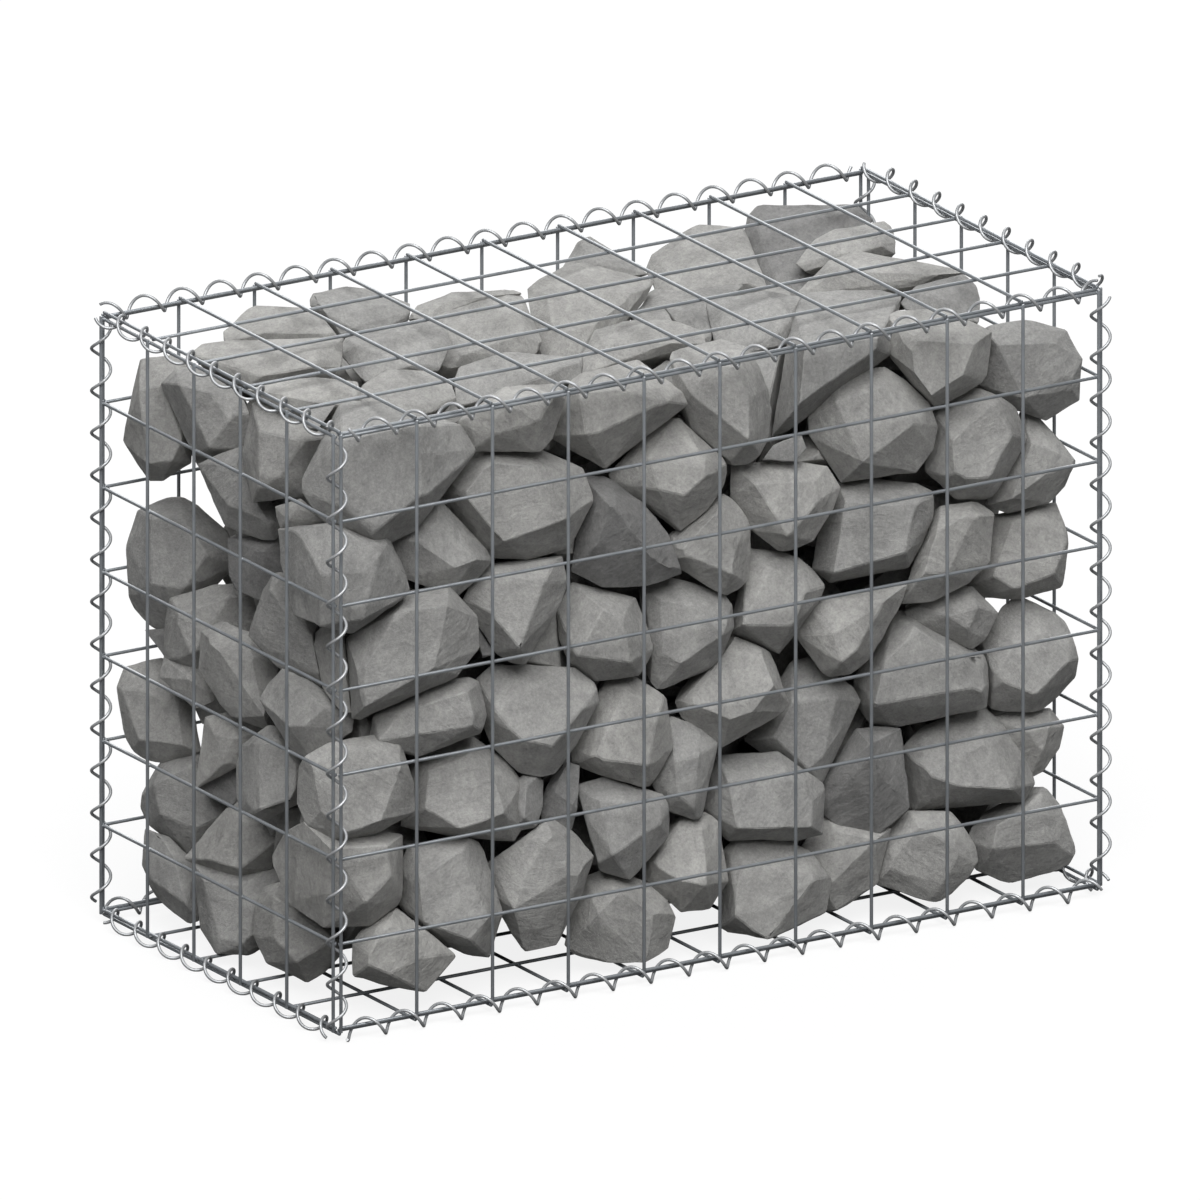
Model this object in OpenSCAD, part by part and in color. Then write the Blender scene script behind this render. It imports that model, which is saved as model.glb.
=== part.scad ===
// Gabion basket of welded wire mesh, laced with spiral binders and filled with quarry stone.
// The basket is six mesh panels and twelve spirals, one along each edge.
// Origin: middle of the footprint, at the lowest coil. X runs along the wall, Y into it, Z up.

/* [Basket] */
// Mesh squares along the wall
cells_x = 10; // [3:1:10]
// Mesh squares through the wall
cells_y = 5; // [3:1:5]
// Mesh squares up the wall
cells_z = 7; // [3:1:7]
// Side of one mesh square, between wire centres
mesh_pitch = 100; // [90:2:110]

/* [Mesh wire] */
// Diameter of the mesh wires
wire_d = 4; // [3:0.25:4.5]
// Depth that a welded wire sinks into the one it crosses
weld_set = 0.6; // [0.4:0.1:0.8]
// Clearance between the wires of two panels where they meet
panel_gap = 0.2; // [0.2:0.1:0.5]

/* [Spiral binders] */
// Diameter of the spiral's wire
binder_wire_d = 3.2; // [2.5:0.1:3.5]
// Radius of the coil at the middle of its wire
coil_r = 10.8; // [10.5:0.1:12]
// Turns of the coil along each mesh square
turns_per_cell = 2; // [1:1:2]
// Clearance between a coil and the edge wire that it bears on
seat_gap = 0.3; // [0.2:0.1:0.5]

/* [Stone fill] */
// Size of a stone against the outline that it shows
stone_swell = 1.1; // [1.06:0.02:1.2]
// Distance between the stones of the core, in tenths of a mesh square
core_step = 12; // [11:0.5:14]
// Clearance between two stones, and between a stone and the base mesh
stone_gap = 0.6; // [0.4:0.1:0.9]
// Distance that the stones stay behind the side panels and below the lid
fill_inset = 7; // [4:1:12]

/* [Hidden] */

mesh_grey = "slategray";
binder_grey = "lightsteelblue";
stone_grey = "gray";

// Half lengths of the nominal box
half_box = [cells_x, cells_y, cells_z] * mesh_pitch / 2;

// Mesh wires are eight-sided bars, laid in two layers that are welded where they cross
wire_sides = 8;
wire_r = wire_d / 2;
corner_r = wire_r / cos(180 / wire_sides);
// Distance of a panel's inner and outer layer outside the nominal box
inner_out = (wire_d + panel_gap) / sqrt(2);
outer_out = inner_out + wire_d - weld_set;
// An outer wire ends just short of the outer wires of the next panel
wire_stub = outer_out - wire_r - panel_gap;

// The coil's wire has a square section with the area of the round one
binder_half = binder_wire_d * sqrt(PI) / 4;
coil_pitch = mesh_pitch / turns_per_cell;
rings_per_turn = 8;
// How far the middle of an edge wire may lie from the coil's axis
coil_reach = coil_r - binder_half - corner_r - seat_gap;

// Edge wires of a pair, by the pair's direction, as distances outside the two panels
edge_pairs = [
    [[inner_out, 0], [0, inner_out]],
    [[inner_out, 0], [0, outer_out]],
    [[outer_out, 0], [0, outer_out]]
];
// Way that a coil leans off its pair, in degrees from the first panel's outward direction
lean_top_long = 34;
lean_bottom_long = 14;
lean_top_end = 25;
lean_bottom_end = -6;
lean_corner_near = 55;
lean_corner_far = 99;

// Height of the nominal box above the ground, so that the lowest coil touches it
box_lift = binder_centre(0, lean_bottom_long)[1] + coil_r + binder_half;
box_middle = [0, 0, box_lift + half_box[2]];

// Room for the stones
courses = 6;
fill_half = half_box - [fill_inset, fill_inset, 0];
fill_floor = box_lift - inner_out + wire_r + stone_gap / 2;
fill_top = box_lift + 2 * half_box[2] - fill_inset;
tenth = mesh_pitch / 10;

// Line of sight that the outlines of the stones are given along, as turns about X and Z
sight_pitch = -18.2;
sight_yaw = -31.5;
// Drift across and up for each step of depth along that line
sight_drift = -tan(sight_yaw);
sight_sink = tan(sight_pitch) / cos(sight_yaw);
// Depth of a stone's middle behind the front or the left end, for its size
rest_share = 1.1;
end_rest_share = 0.45;
// Depth of a top stone's middle under the lid, and the reach of its hidden foot
top_rest_share = 2.4;
top_foot = 2.5;
// Least closeness of a turned stone and of a core stone to those already placed
turned_room = 0.62;
core_room = 0.66;
// Closeness up to which two stones are parted by a plane
parting_reach = 1.5;
// Size of a core stone against the core's step, and its shifts off the grid
core_share = 0.52;
core_shift = 0.14;
row_shift = 0.15;
// Turns of the two sets of planes that a stone is split along
split_turn = 13;
split_tilt = [42, 45, 0];
split_width = 2.2;

// Outlines in tenths of a mesh square on the front panel: across, up, half width, half height
front_stones = [
    [7, 65, 9.5, 7.5], [23, 68, 7, 4.2], [36.5, 66.5, 8, 5.5], [50.5, 65.5, 6, 7], [65.5, 69, 8, 6],
    [79, 66, 6.5, 5.5], [91.5, 62, 6.3, 6], [24, 58.5, 9.5, 7], [43.5, 58, 7.5, 6.5],
    [70.5, 59.5, 8, 6.3], [84, 55, 6.3, 6.5], [92, 51, 5, 5.5], [1.5, 54, 7.5, 6], [14, 54, 6, 5.5],
    [37.5, 52, 6.5, 6.5], [59, 52, 7, 5.3], [49, 48.5, 5.3, 5.7], [71, 47.5, 7.5, 5.5],
    [9.5, 43, 8.5, 6.5], [24, 46, 6, 6], [35, 41, 6, 6], [46, 39.5, 6, 6], [58, 41, 6, 6],
    [81, 43, 5.5, 5], [90, 41, 6, 5], [67.5, 35.5, 7, 4.5], [12, 34.5, 7.4, 4], [26.5, 33, 8, 6.5],
    [54.5, 31, 4.5, 6], [38, 28.5, 6.3, 6.5], [77, 29, 8, 6], [91, 28.5, 6, 7], [2.5, 28, 7, 5.7],
    [16.5, 25, 7.5, 6], [46, 22.5, 4, 6], [63.5, 25, 4.5, 5], [0, 18, 8, 6], [37.5, 17.5, 6, 5.5],
    [56, 18, 7.5, 5.5], [69.5, 17.5, 5.5, 6], [83, 17.5, 8, 6], [14.5, 13, 6.5, 7],
    [26.5, 13, 6.5, 7.5], [46, 11.7, 5, 5.4], [8, 8, 6, 5], [37, 7, 7, 5.5], [57.5, 7, 7, 6],
    [68.5, 8.5, 4, 6], [78, 7, 6, 5.5], [90, 7.5, 6.8, 5.4]
];
end_stones = [
    [-23.5, 76, 4.5, 7], [-17, 76, 5.5, 5.3], [-8, 70, 5, 5.5], [-12.5, 65, 5, 5.3],
    [-21, 60.5, 7, 7.5], [-6, 48, 4.5, 7], [-17.5, 50.5, 6, 4.5], [-13.5, 44, 4.5, 6],
    [-24, 41.5, 5.5, 6], [-20.5, 30.5, 5.5, 5.5], [-8.8, 32, 4.5, 5], [-13, 24.5, 6, 4.5],
    [-13.5, 17, 5.3, 5.8], [-22.5, 22, 3.5, 5.5], [-5.5, 12.5, 5.5, 6]
];
top_stones = [
    [9, 74, 6, 3], [24, 74, 8, 2.5], [40, 74.5, 7.5, 2.5], [54.5, 74, 6, 3.5], [-9, 81, 9, 3],
    [7, 79, 7, 3], [19, 79.5, 7.5, 4], [32, 80, 7.5, 5], [48.5, 82, 6.5, 4.7], [70, 78, 9, 2.5],
    [-7.5, 84.5, 7, 2.7], [3, 84.5, 6, 3], [60.5, 82, 7, 5]
];

// Step along the lean at which the coil's inside comes to one edge wire
function lean_step(middle, wire, lean) =
    let (off = middle - wire, along = off * lean)
    sqrt(along * along - off * off + coil_reach * coil_reach) - along;

// Coil axis, as distances outside the two panels of the edge
function binder_centre(direction, lean) =
    let (
        pair = edge_pairs[direction],
        middle = (pair[0] + pair[1]) / 2,
        way = [cos(lean), sin(lean)]
    )
    middle + way * min(lean_step(middle, pair[0], way), lean_step(middle, pair[1], way));

// A bar along X, with flats on its four sides
module bar(length) {
    rotate([0, 90, 0])
        rotate(180 / wire_sides)
            cylinder(h = length, r = corner_r, center = true, $fn = wire_sides);
}

// Welded panel in the XY plane, facing +Z, with its inner wires along X
module mesh_panel(cells_u, cells_v) {
    length_u = cells_u * mesh_pitch;
    length_v = cells_v * mesh_pitch;
    for (i = [0 : cells_v])
        translate([0, i * mesh_pitch - length_v / 2, inner_out])
            bar(length_u);
    for (i = [0 : cells_u])
        translate([i * mesh_pitch - length_u / 2, 0, outer_out])
            rotate(90)
                bar(length_v + 2 * wire_stub);
}

// A long side panel, on the front for 0 degrees and on the back for 180
module long_side(turn) {
    color(mesh_grey)
        translate(box_middle)
            rotate(turn)
                translate([0, -half_box[1], 0])
                    rotate([90, 0, 0])
                        mesh_panel(cells_x, cells_z);
}

// An end panel, on the left for -90 degrees and on the right for 90
module end_side(turn) {
    color(mesh_grey)
        translate(box_middle)
            rotate(turn)
                translate([0, -half_box[0], 0])
                    rotate([90, 0, 0])
                        mesh_panel(cells_y, cells_z);
}

// The lid for 0 degrees, the base for 180
module flat_side(turn) {
    color(mesh_grey)
        translate(box_middle)
            rotate([turn, 0, 0])
                translate([0, 0, half_box[2]])
                    mesh_panel(cells_x, cells_y);
}

// Corner of the wire's section on one ring of the coil
function coil_point(angle, height, corner) =
    let (
        rise = atan2(coil_pitch, 2 * PI * coil_r),
        outward = [cos(angle), sin(angle), 0],
        across = [sin(angle) * sin(rise), -cos(angle) * sin(rise), cos(rise)]
    )
    coil_r * outward + [0, 0, height] + binder_half * (corner[0] * outward + corner[1] * across);

section = [[1, -1], [1, 1], [-1, 1], [-1, -1]];

// Right-handed coil along Z. The middle of its wire crosses the +X side at height start.
module coil(length, start) {
    sides = len(section);
    first = ceil(-start / coil_pitch * rings_per_turn);
    last = floor((length - start) / coil_pitch * rings_per_turn);
    rings = last - first;
    points = [
        for (k = [first : last])
            let (turn = k / rings_per_turn, height = start + coil_pitch * turn - length / 2)
            for (corner = section)
                coil_point(360 * turn, height, corner)
    ];
    skin = [
        for (k = [0 : rings - 1])
            for (s = [0 : sides - 1])
                let (a = k * sides + s, b = k * sides + (s + 1) % sides)
                each [[a, a + sides, b + sides], [a, b + sides, b]]
    ];
    caps = [
        [for (s = [0 : sides - 1]) s],
        [for (s = [sides - 1 : -1 : 0]) rings * sides + s]
    ];
    polyhedron(points = points, faces = concat(skin, caps));
}

// Binder along X, Y or Z for direction 0, 1 or 2, on the edge that sides points to. It starts at a
// share of a turn.
module binder(direction, sides, lean, start) {
    out = binder_centre(direction, lean);
    others = [for (a = [0 : 2]) if (a != direction) a];
    centre = [
        for (a = [0 : 2])
            a == direction ? 0 : sides[a] * (half_box[a] + out[a == others[0] ? 0 : 1])
    ];
    color(binder_grey)
        translate(box_middle + centre)
            rotate(a = 120 * (direction + 1), v = [1, 1, 1])
                coil(2 * half_box[direction], start * coil_pitch);
}

// Point that shows at across and up, at a depth behind the front panel
function seen_point(across, up, depth) =
    [
        -half_box[0] + (across + sight_drift * depth) * tenth,
        -half_box[1] + depth * tenth,
        box_lift + (up + sight_sink * depth) * tenth
    ];

function mean_size(outline) = (outline[2] + outline[3]) / 2;

// Depths of a stone's middle against the front, against the left end and under the lid
function front_depth(outline) = fill_inset / tenth + rest_share * mean_size(outline);
function end_depth(outline) =
    (fill_inset / tenth - outline[0]) / sight_drift
    + rest_share * outline[2]
    + end_rest_share * mean_size(outline);
function top_depth(outline) =
    ((2 * half_box[2] - fill_inset) / tenth - outline[1]) / sight_sink + top_rest_share * outline[3];

// A stone is its middle, its half lengths across, into and up the view, its turn and its seed
function stone_of(outline, depth, drop, seed) =
    [
        seen_point(outline[0], outline[1] - drop, depth),
        tenth * stone_swell
            * [outline[2] * cos(sight_yaw), mean_size(outline), (outline[3] + drop) * cos(sight_pitch)],
        0,
        seed
    ];

function turned(stone) = [[-stone[0][0], -stone[0][1], stone[0][2]], stone[1], 180, stone[3]];

function stone_size(stone) = (stone[1][0] + stone[1][1] + stone[1][2]) / 3;

// Whether a stone's middle lies inside the basket
function is_inside(stone) =
    abs(stone[0][0]) < fill_half[0] && abs(stone[0][1]) < fill_half[1]
    && stone[0][2] > fill_floor && stone[0][2] < fill_top;

// Distance between two stones against the sum of their sizes
function closeness(a, b) = norm(a[0] - b[0]) / (stone_size(a) + stone_size(b));

// Stones of a list that have room beside those already placed
function with_room(list, placed, least) =
    [for (s = list) if (is_inside(s) && min([for (p = placed) closeness(s, p)]) > least) s];

shown_stones = [
    for (s = concat(
        [for (i = [0 : len(front_stones) - 1])
            stone_of(front_stones[i], front_depth(front_stones[i]), 0, i + 1)],
        [for (i = [0 : len(end_stones) - 1])
            stone_of(end_stones[i], end_depth(end_stones[i]), 0, i + 101)],
        [for (i = [0 : len(top_stones) - 1])
            stone_of(top_stones[i], top_depth(top_stones[i]), top_foot, i + 201)]
    ))
        if (is_inside(s)) s
];
back_stones = with_room([for (s = shown_stones) turned(s)], shown_stones, turned_room);
outer_stones = concat(shown_stones, back_stones);

// Core stones on a grid, every other row shifted by half a step
core_count = [for (a = [0 : 2]) floor(2 * half_box[a] / (core_step * tenth))];
core_size = core_step * tenth * core_share;
core_grid = [
    for (i = [0 : core_count[0] - 1])
        for (j = [0 : core_count[1] - 1])
            for (k = [0 : core_count[2] - 1])
                let (
                    shift = rands(-core_shift, core_shift, 3, 1000 + 100 * k + 10 * j + i),
                    stagger = k % 2 == 0 ? row_shift : -row_shift
                )
                [
                    [
                        ((i + 0.5 + shift[0] + stagger) / core_count[0] - 0.5) * 2 * half_box[0],
                        ((j + 0.5 + shift[1]) / core_count[1] - 0.5) * 2 * half_box[1],
                        fill_floor + (k + 0.5 + shift[2]) / core_count[2] * (fill_top - fill_floor)
                    ],
                    [core_size, core_size, core_size] * stone_swell,
                    0,
                    2000 + 100 * k + 10 * j + i
                ]
];
core_stones = with_room(core_grid, outer_stones, core_room);
all_stones = concat(outer_stones, core_stones);

// Everything on a stone's side of the plane between it and a neighbour, nearer to the smaller one
module near_side(stone, other) {
    away = other[0] - stone[0];
    share = stone_size(stone) / (stone_size(stone) + stone_size(other));
    reach = norm(away) * share - stone_gap / 2;
    far_size = 6 * stone_size(stone);
    translate(stone[0])
        rotate([0, acos(away[2] / norm(away)), atan2(away[1], away[0])])
            translate([0, 0, reach - far_size / 2])
                cube(far_size, center = true);
}

// Rough block split from the rock along two sets of planes, lying along the view
module rough_block(stone) {
    turns = rands(-split_turn, split_turn, 6, stone[3]);
    half = stone[1];
    rotate([sight_pitch, 0, sight_yaw + stone[2]]) {
        intersection() {
            rotate([turns[0], turns[1], turns[2]])
                cube(2 * half, center = true);
            rotate(split_tilt + [turns[3], turns[4], turns[5]])
                cube(split_width * stone_size(stone), center = true);
        }
    }
}

module stone(stone) {
    near = [
        for (other = all_stones)
            if (other != stone && closeness(stone, other) < parting_reach) other
    ];
    intersection() {
        translate(stone[0])
            rough_block(stone);
        translate([-fill_half[0], -fill_half[1], fill_floor])
            cube([2 * fill_half[0], 2 * fill_half[1], fill_top - fill_floor]);
        intersection_for(other = near)
            near_side(stone, other);
    }
}

// The stones whose middles lie at the height of course k
module stone_course(k) {
    height = (fill_top - fill_floor) / courses;
    color(stone_grey)
        for (s = all_stones)
            if (min(courses - 1, floor((s[0][2] - fill_floor) / height)) == k)
                stone(s);
}

long_side(0);  // front_mesh
long_side(180);  // back_mesh
end_side(-90);  // left_end_mesh
end_side(90);  // right_end_mesh
flat_side(180);  // base_mesh
flat_side(0);  // lid_mesh
binder(2, [-1, -1, 0], lean_corner_near, 0.67);  // binder_front_left
binder(2, [1, -1, 0], lean_corner_far, 0.05);  // binder_front_right
binder(2, [-1, 1, 0], lean_corner_far, 0.86);  // binder_back_left
binder(2, [1, 1, 0], lean_corner_near, 0.83);  // binder_back_right
binder(0, [0, -1, 1], lean_top_long, 0.72);  // binder_top_front
binder(0, [0, 1, 1], lean_top_long, 0.89);  // binder_top_back
binder(1, [-1, 0, 1], lean_top_end, 0.13);  // binder_top_left
binder(1, [1, 0, 1], lean_top_end, 0.08);  // binder_top_right
binder(0, [0, -1, -1], lean_bottom_long, 0.44);  // binder_bottom_front
binder(0, [0, 1, -1], lean_bottom_long, 0.23);  // binder_bottom_back
binder(1, [-1, 0, -1], lean_bottom_end, 0.42);  // binder_bottom_left
binder(1, [1, 0, -1], lean_bottom_end, 0.48);  // binder_bottom_right
stone_course(0);  // stones_course_1
stone_course(1);  // stones_course_2
stone_course(2);  // stones_course_3
stone_course(3);  // stones_course_4
stone_course(4);  // stones_course_5
stone_course(5);  // stones_course_6
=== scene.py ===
"""Gabion basket of welded wire mesh, laced with spiral binders and filled with quarry stone.

Lengths are metres unless a name ends in _cm. X runs along the wall, Y into it and Z up. The stones that
show are written in centimetres as they are seen against the front panel: across from its left edge and up
from its lower edge, along lines that run parallel to the camera's view.
"""

import logging
import random
from collections.abc import Iterable, Sequence
from dataclasses import dataclass, field
from enum import Enum
from functools import cached_property
from math import atan2, cos, pi, radians, sin, sqrt, tau

import bmesh
import bpy
from mathutils import Matrix, Vector, geometry, noise


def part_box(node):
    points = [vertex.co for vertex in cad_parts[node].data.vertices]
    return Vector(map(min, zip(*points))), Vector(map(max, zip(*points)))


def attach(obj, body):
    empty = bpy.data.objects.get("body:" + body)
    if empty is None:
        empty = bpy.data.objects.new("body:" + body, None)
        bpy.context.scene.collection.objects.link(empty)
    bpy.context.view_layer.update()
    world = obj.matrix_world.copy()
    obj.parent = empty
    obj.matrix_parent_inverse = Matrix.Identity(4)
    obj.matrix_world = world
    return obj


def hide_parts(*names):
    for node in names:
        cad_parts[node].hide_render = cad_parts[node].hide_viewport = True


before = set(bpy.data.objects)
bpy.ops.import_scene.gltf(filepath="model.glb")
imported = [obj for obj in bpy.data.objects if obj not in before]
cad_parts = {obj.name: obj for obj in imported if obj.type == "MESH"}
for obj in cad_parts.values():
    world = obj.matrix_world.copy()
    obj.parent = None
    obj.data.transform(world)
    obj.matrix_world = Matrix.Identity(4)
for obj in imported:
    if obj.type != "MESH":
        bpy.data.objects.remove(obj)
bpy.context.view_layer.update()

log = logging.getLogger("gabion")

CM = 0.01
Spot = tuple[float, float]
Colour = tuple[float, ...]
Stops = tuple[tuple[float, Colour], ...]


class Turn(Enum):
    """Way that a mesh panel is turned from lying flat, facing up, to stand on its side of the basket."""

    FRONT = "front"
    BACK = "back"
    LEFT_END = "left_end"
    RIGHT_END = "right_end"
    BASE = "base"
    LID = "lid"


class Side(Enum):
    """Side of the basket that a visible stone lies against."""

    FRONT = "front"
    LEFT = "left"
    TOP = "top"


# ---------------------------------------------------------------------------------------------------------
# Finishes


class Nodes:
    """A material's node tree, with short calls to add and join nodes."""

    def __init__(self, name: str) -> None:
        """Start an empty material.

        Args:
            name: name of the material.
        """
        self.material = bpy.data.materials.new(name)
        self.material.use_nodes = True
        self.tree = self.material.node_tree
        self.tree.nodes.clear()

    def add(self, kind: str, **settings: object) -> bpy.types.Node:
        """Add a node.

        Args:
            kind: type of the node, without the words ShaderNode.
            settings: the node's own properties, or values of its sockets by name with _ for a space.

        Returns:
            The new node.
        """
        node = self.tree.nodes.new("ShaderNode" + kind)
        for key, value in settings.items():
            if hasattr(node, key):
                setattr(node, key, value)
            else:
                node.inputs[key.replace("_", " ")].default_value = value
        return node

    def join(self, source: bpy.types.NodeSocket, target: bpy.types.NodeSocket) -> None:
        """Link one socket to another."""
        self.tree.links.new(source, target)

    def ramp(self, value: bpy.types.NodeSocket, stops: Stops) -> bpy.types.NodeSocket:
        """Colour ramp over a value.

        Args:
            value: socket that gives the value.
            stops: places from 0 to 1 with their colours.

        Returns:
            The ramp's colour socket.
        """
        node = self.add("ValToRGB")
        marks = node.color_ramp.elements
        while len(marks) < len(stops):
            marks.new(0.5)
        for mark, (place, colour) in zip(marks, stops):
            mark.position = place
            mark.color = (*colour, 1.0)
        self.join(value, node.inputs["Fac"])
        return node.outputs["Color"]

    def mix(self, kind: str, amount: object, first: object, second: object) -> bpy.types.NodeSocket:
        """Mix two colours.

        Args:
            kind: blend type.
            amount: factor, as a number or a socket.
            first: colour A, as a tuple or a socket.
            second: colour B, as a tuple or a socket.

        Returns:
            The mixed colour's socket.
        """
        node = self.add("Mix", data_type="RGBA", blend_type=kind)
        for socket, value in ((node.inputs[0], amount), (node.inputs[6], first), (node.inputs[7], second)):
            if isinstance(value, bpy.types.NodeSocket):
                self.join(value, socket)
            else:
                socket.default_value = value
        return node.outputs[2]

    def finish(self, shader: bpy.types.Node) -> bpy.types.Material:
        """Put a shader on the surface.

        Args:
            shader: node with the surface's shader.

        Returns:
            The material.
        """
        output = self.add("OutputMaterial")
        self.join(shader.outputs[0], output.inputs["Surface"])
        return self.material


@dataclass(frozen=True)
class Galvanised:
    """Zinc-coated steel wire, with a cloudy bloom on the zinc and fine drawing marks."""

    name: str
    dark: tuple[float, float, float]
    light: tuple[float, float, float]
    metal: float
    rough: float
    cloud_scale: float = 45.0
    mark_scale: float = 900.0
    mark_depth: float = 0.00004

    def material(self) -> bpy.types.Material:
        """Build the material.

        Returns:
            The zinc material.
        """
        nodes = Nodes(self.name)
        place = nodes.add("TexCoord").outputs["Object"]
        cloud = nodes.add("TexNoise", Scale=self.cloud_scale, Detail=4.0, Roughness=0.6)
        marks = nodes.add("TexNoise", Scale=self.mark_scale, Detail=2.0)
        nodes.join(place, cloud.inputs["Vector"])
        nodes.join(place, marks.inputs["Vector"])
        colour = nodes.ramp(cloud.outputs["Fac"], ((0.3, self.dark), (0.7, self.light)))
        rough = nodes.add("MapRange", To_Min=self.rough - 0.03, To_Max=self.rough + 0.05)
        nodes.join(cloud.outputs["Fac"], rough.inputs["Value"])
        bump = nodes.add("Bump", Strength=0.35, Distance=self.mark_depth)
        nodes.join(marks.outputs["Fac"], bump.inputs["Height"])
        steel = nodes.add("BsdfPrincipled", Metallic=self.metal)
        nodes.join(colour, steel.inputs["Base Color"])
        nodes.join(rough.outputs["Result"], steel.inputs["Roughness"])
        nodes.join(bump.outputs["Normal"], steel.inputs["Normal"])
        return nodes.finish(steel)


@dataclass(frozen=True)
class QuarryStone:
    """Split grey stone with a fine grain, faint layers and a tone for each block, which is its own colour on
    most blocks and painted shade on the stones further in.
    """

    name: str = "quarry_stone"
    dark: tuple[float, float, float] = (0.240, 0.238, 0.233)
    middle: tuple[float, float, float] = (0.352, 0.349, 0.342)
    light: tuple[float, float, float] = (0.455, 0.452, 0.443)
    cloud_scale: float = 16.0
    layer_scale: float = 34.0
    layer_stretch: float = 2.6
    grain_scale: float = 330.0
    mottle_scale: float = 120.0
    streak_tones: Stops = ((0.34, (0.86, 0.86, 0.86)), (0.62, (1.06, 1.06, 1.05)))
    speck_tones: Stops = ((0.3, (0.76, 0.76, 0.77)), (0.7, (1.20, 1.20, 1.19)))
    blot_tones: Stops = ((0.32, (0.84, 0.84, 0.84)), (0.66, (1.12, 1.12, 1.11)))
    block_tones_and_shade: Stops = ((0.0, (0.55, 0.55, 0.56)), (0.35, (0.90, 0.90, 0.90)), (1.0, (1.14, 1.13, 1.11)))
    relief: float = 0.0024

    def material(self) -> bpy.types.Material:
        """Build the material.

        Returns:
            The stone material.
        """
        nodes = Nodes(self.name)
        place = nodes.add("Attribute", attribute_name="rock_place").outputs["Vector"]
        tone = nodes.add("Attribute", attribute_name="rock_tone_and_shade").outputs["Fac"]
        stretch = nodes.add("Mapping")
        stretch.inputs["Scale"].default_value = (1.0, 1.0, self.layer_stretch)
        nodes.join(place, stretch.inputs["Vector"])
        cloud = nodes.add("TexNoise", Scale=self.cloud_scale, Detail=5.0, Roughness=0.6)
        layers = nodes.add("TexNoise", Scale=self.layer_scale, Detail=6.0, Roughness=0.65, Distortion=0.4)
        grain = nodes.add("TexNoise", Scale=self.grain_scale, Detail=6.0, Roughness=0.75)
        nodes.join(place, cloud.inputs["Vector"])
        nodes.join(stretch.outputs["Vector"], layers.inputs["Vector"])
        nodes.join(place, grain.inputs["Vector"])
        ground = nodes.ramp(cloud.outputs["Fac"], ((0.3, self.dark), (0.5, self.middle), (0.7, self.light)))
        base = nodes.mix("MIX", 0.62, ground, (*self.middle, 1.0))
        streaks = nodes.ramp(layers.outputs["Fac"], self.streak_tones)
        streaked = nodes.mix("MULTIPLY", 0.75, base, streaks)
        specks = nodes.ramp(grain.outputs["Fac"], self.speck_tones)
        mottle = nodes.add("TexNoise", Scale=self.mottle_scale, Detail=5.0, Roughness=0.7)
        nodes.join(place, mottle.inputs["Vector"])
        blots = nodes.ramp(mottle.outputs["Fac"], self.blot_tones)
        blotched = nodes.mix("MULTIPLY", 0.85, streaked, blots)
        grained = nodes.mix("MULTIPLY", 0.85, blotched, specks)
        # Each block's tone darkens or lightens it: its own colour on most blocks, painted shade on the
        # stones further in
        shade = nodes.ramp(tone, self.block_tones_and_shade)
        colour = nodes.mix("MULTIPLY", 1.0, grained, shade)
        rubble = nodes.mix("ADD", 0.30, layers.outputs["Fac"], grain.outputs["Fac"])
        height = nodes.mix("ADD", 0.45, rubble, mottle.outputs["Fac"])
        bump = nodes.add("Bump", Strength=0.9, Distance=self.relief)
        nodes.join(height, bump.inputs["Height"])
        stone = nodes.add("BsdfPrincipled", Roughness=0.88)
        stone.inputs["Specular IOR Level"].default_value = 0.25
        nodes.join(colour, stone.inputs["Base Color"])
        nodes.join(bump.outputs["Normal"], stone.inputs["Normal"])
        return nodes.finish(stone)


MESH_ZINC = Galvanised(
    "galvanised_mesh", (0.262, 0.280, 0.298), (0.330, 0.350, 0.370), metal=0.50, rough=0.30,
)
SPIRAL_ZINC = Galvanised(
    "galvanised_spiral", (0.36, 0.37, 0.38), (0.50, 0.51, 0.52), metal=0.55, rough=0.44,
)


# ---------------------------------------------------------------------------------------------------------
# Sizes and the view


@dataclass(frozen=True)
class Basket:
    """Sizes of the basket, as the construction model has them."""

    cells: tuple[int, int, int] = (10, 5, 7)
    pitch: float = 0.1
    wire: float = 0.004
    weld_set: float = 0.0006
    panel_gap: float = 0.0002
    spiral_wire: float = 0.0032
    coil_r: float = 0.0108
    coil_pitch: float = 0.05
    seat_gap: float = 0.0003

    @cached_property
    def half(self) -> Vector:
        """Half lengths of the nominal box."""
        return Vector(self.cells) * self.pitch / 2

    @cached_property
    def inner_out(self) -> float:
        """Distance of a panel's inner wires outside the nominal box."""
        return (self.wire + self.panel_gap) / sqrt(2)

    @cached_property
    def outer_out(self) -> float:
        """Distance of a panel's outer wires outside the nominal box."""
        return self.inner_out + self.wire - self.weld_set

    @cached_property
    def stub(self) -> float:
        """Length by which the outer wires run past the edge wires' middles."""
        return self.outer_out - self.wire / 2 - self.panel_gap

    @cached_property
    def lift(self) -> float:
        """Height of the nominal box above the ground."""
        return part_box("front_mesh")[0][2] + self.stub

    @cached_property
    def middle(self) -> Vector:
        """Middle of the nominal box."""
        return Vector((0.0, 0.0, self.lift + self.half.z))


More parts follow.
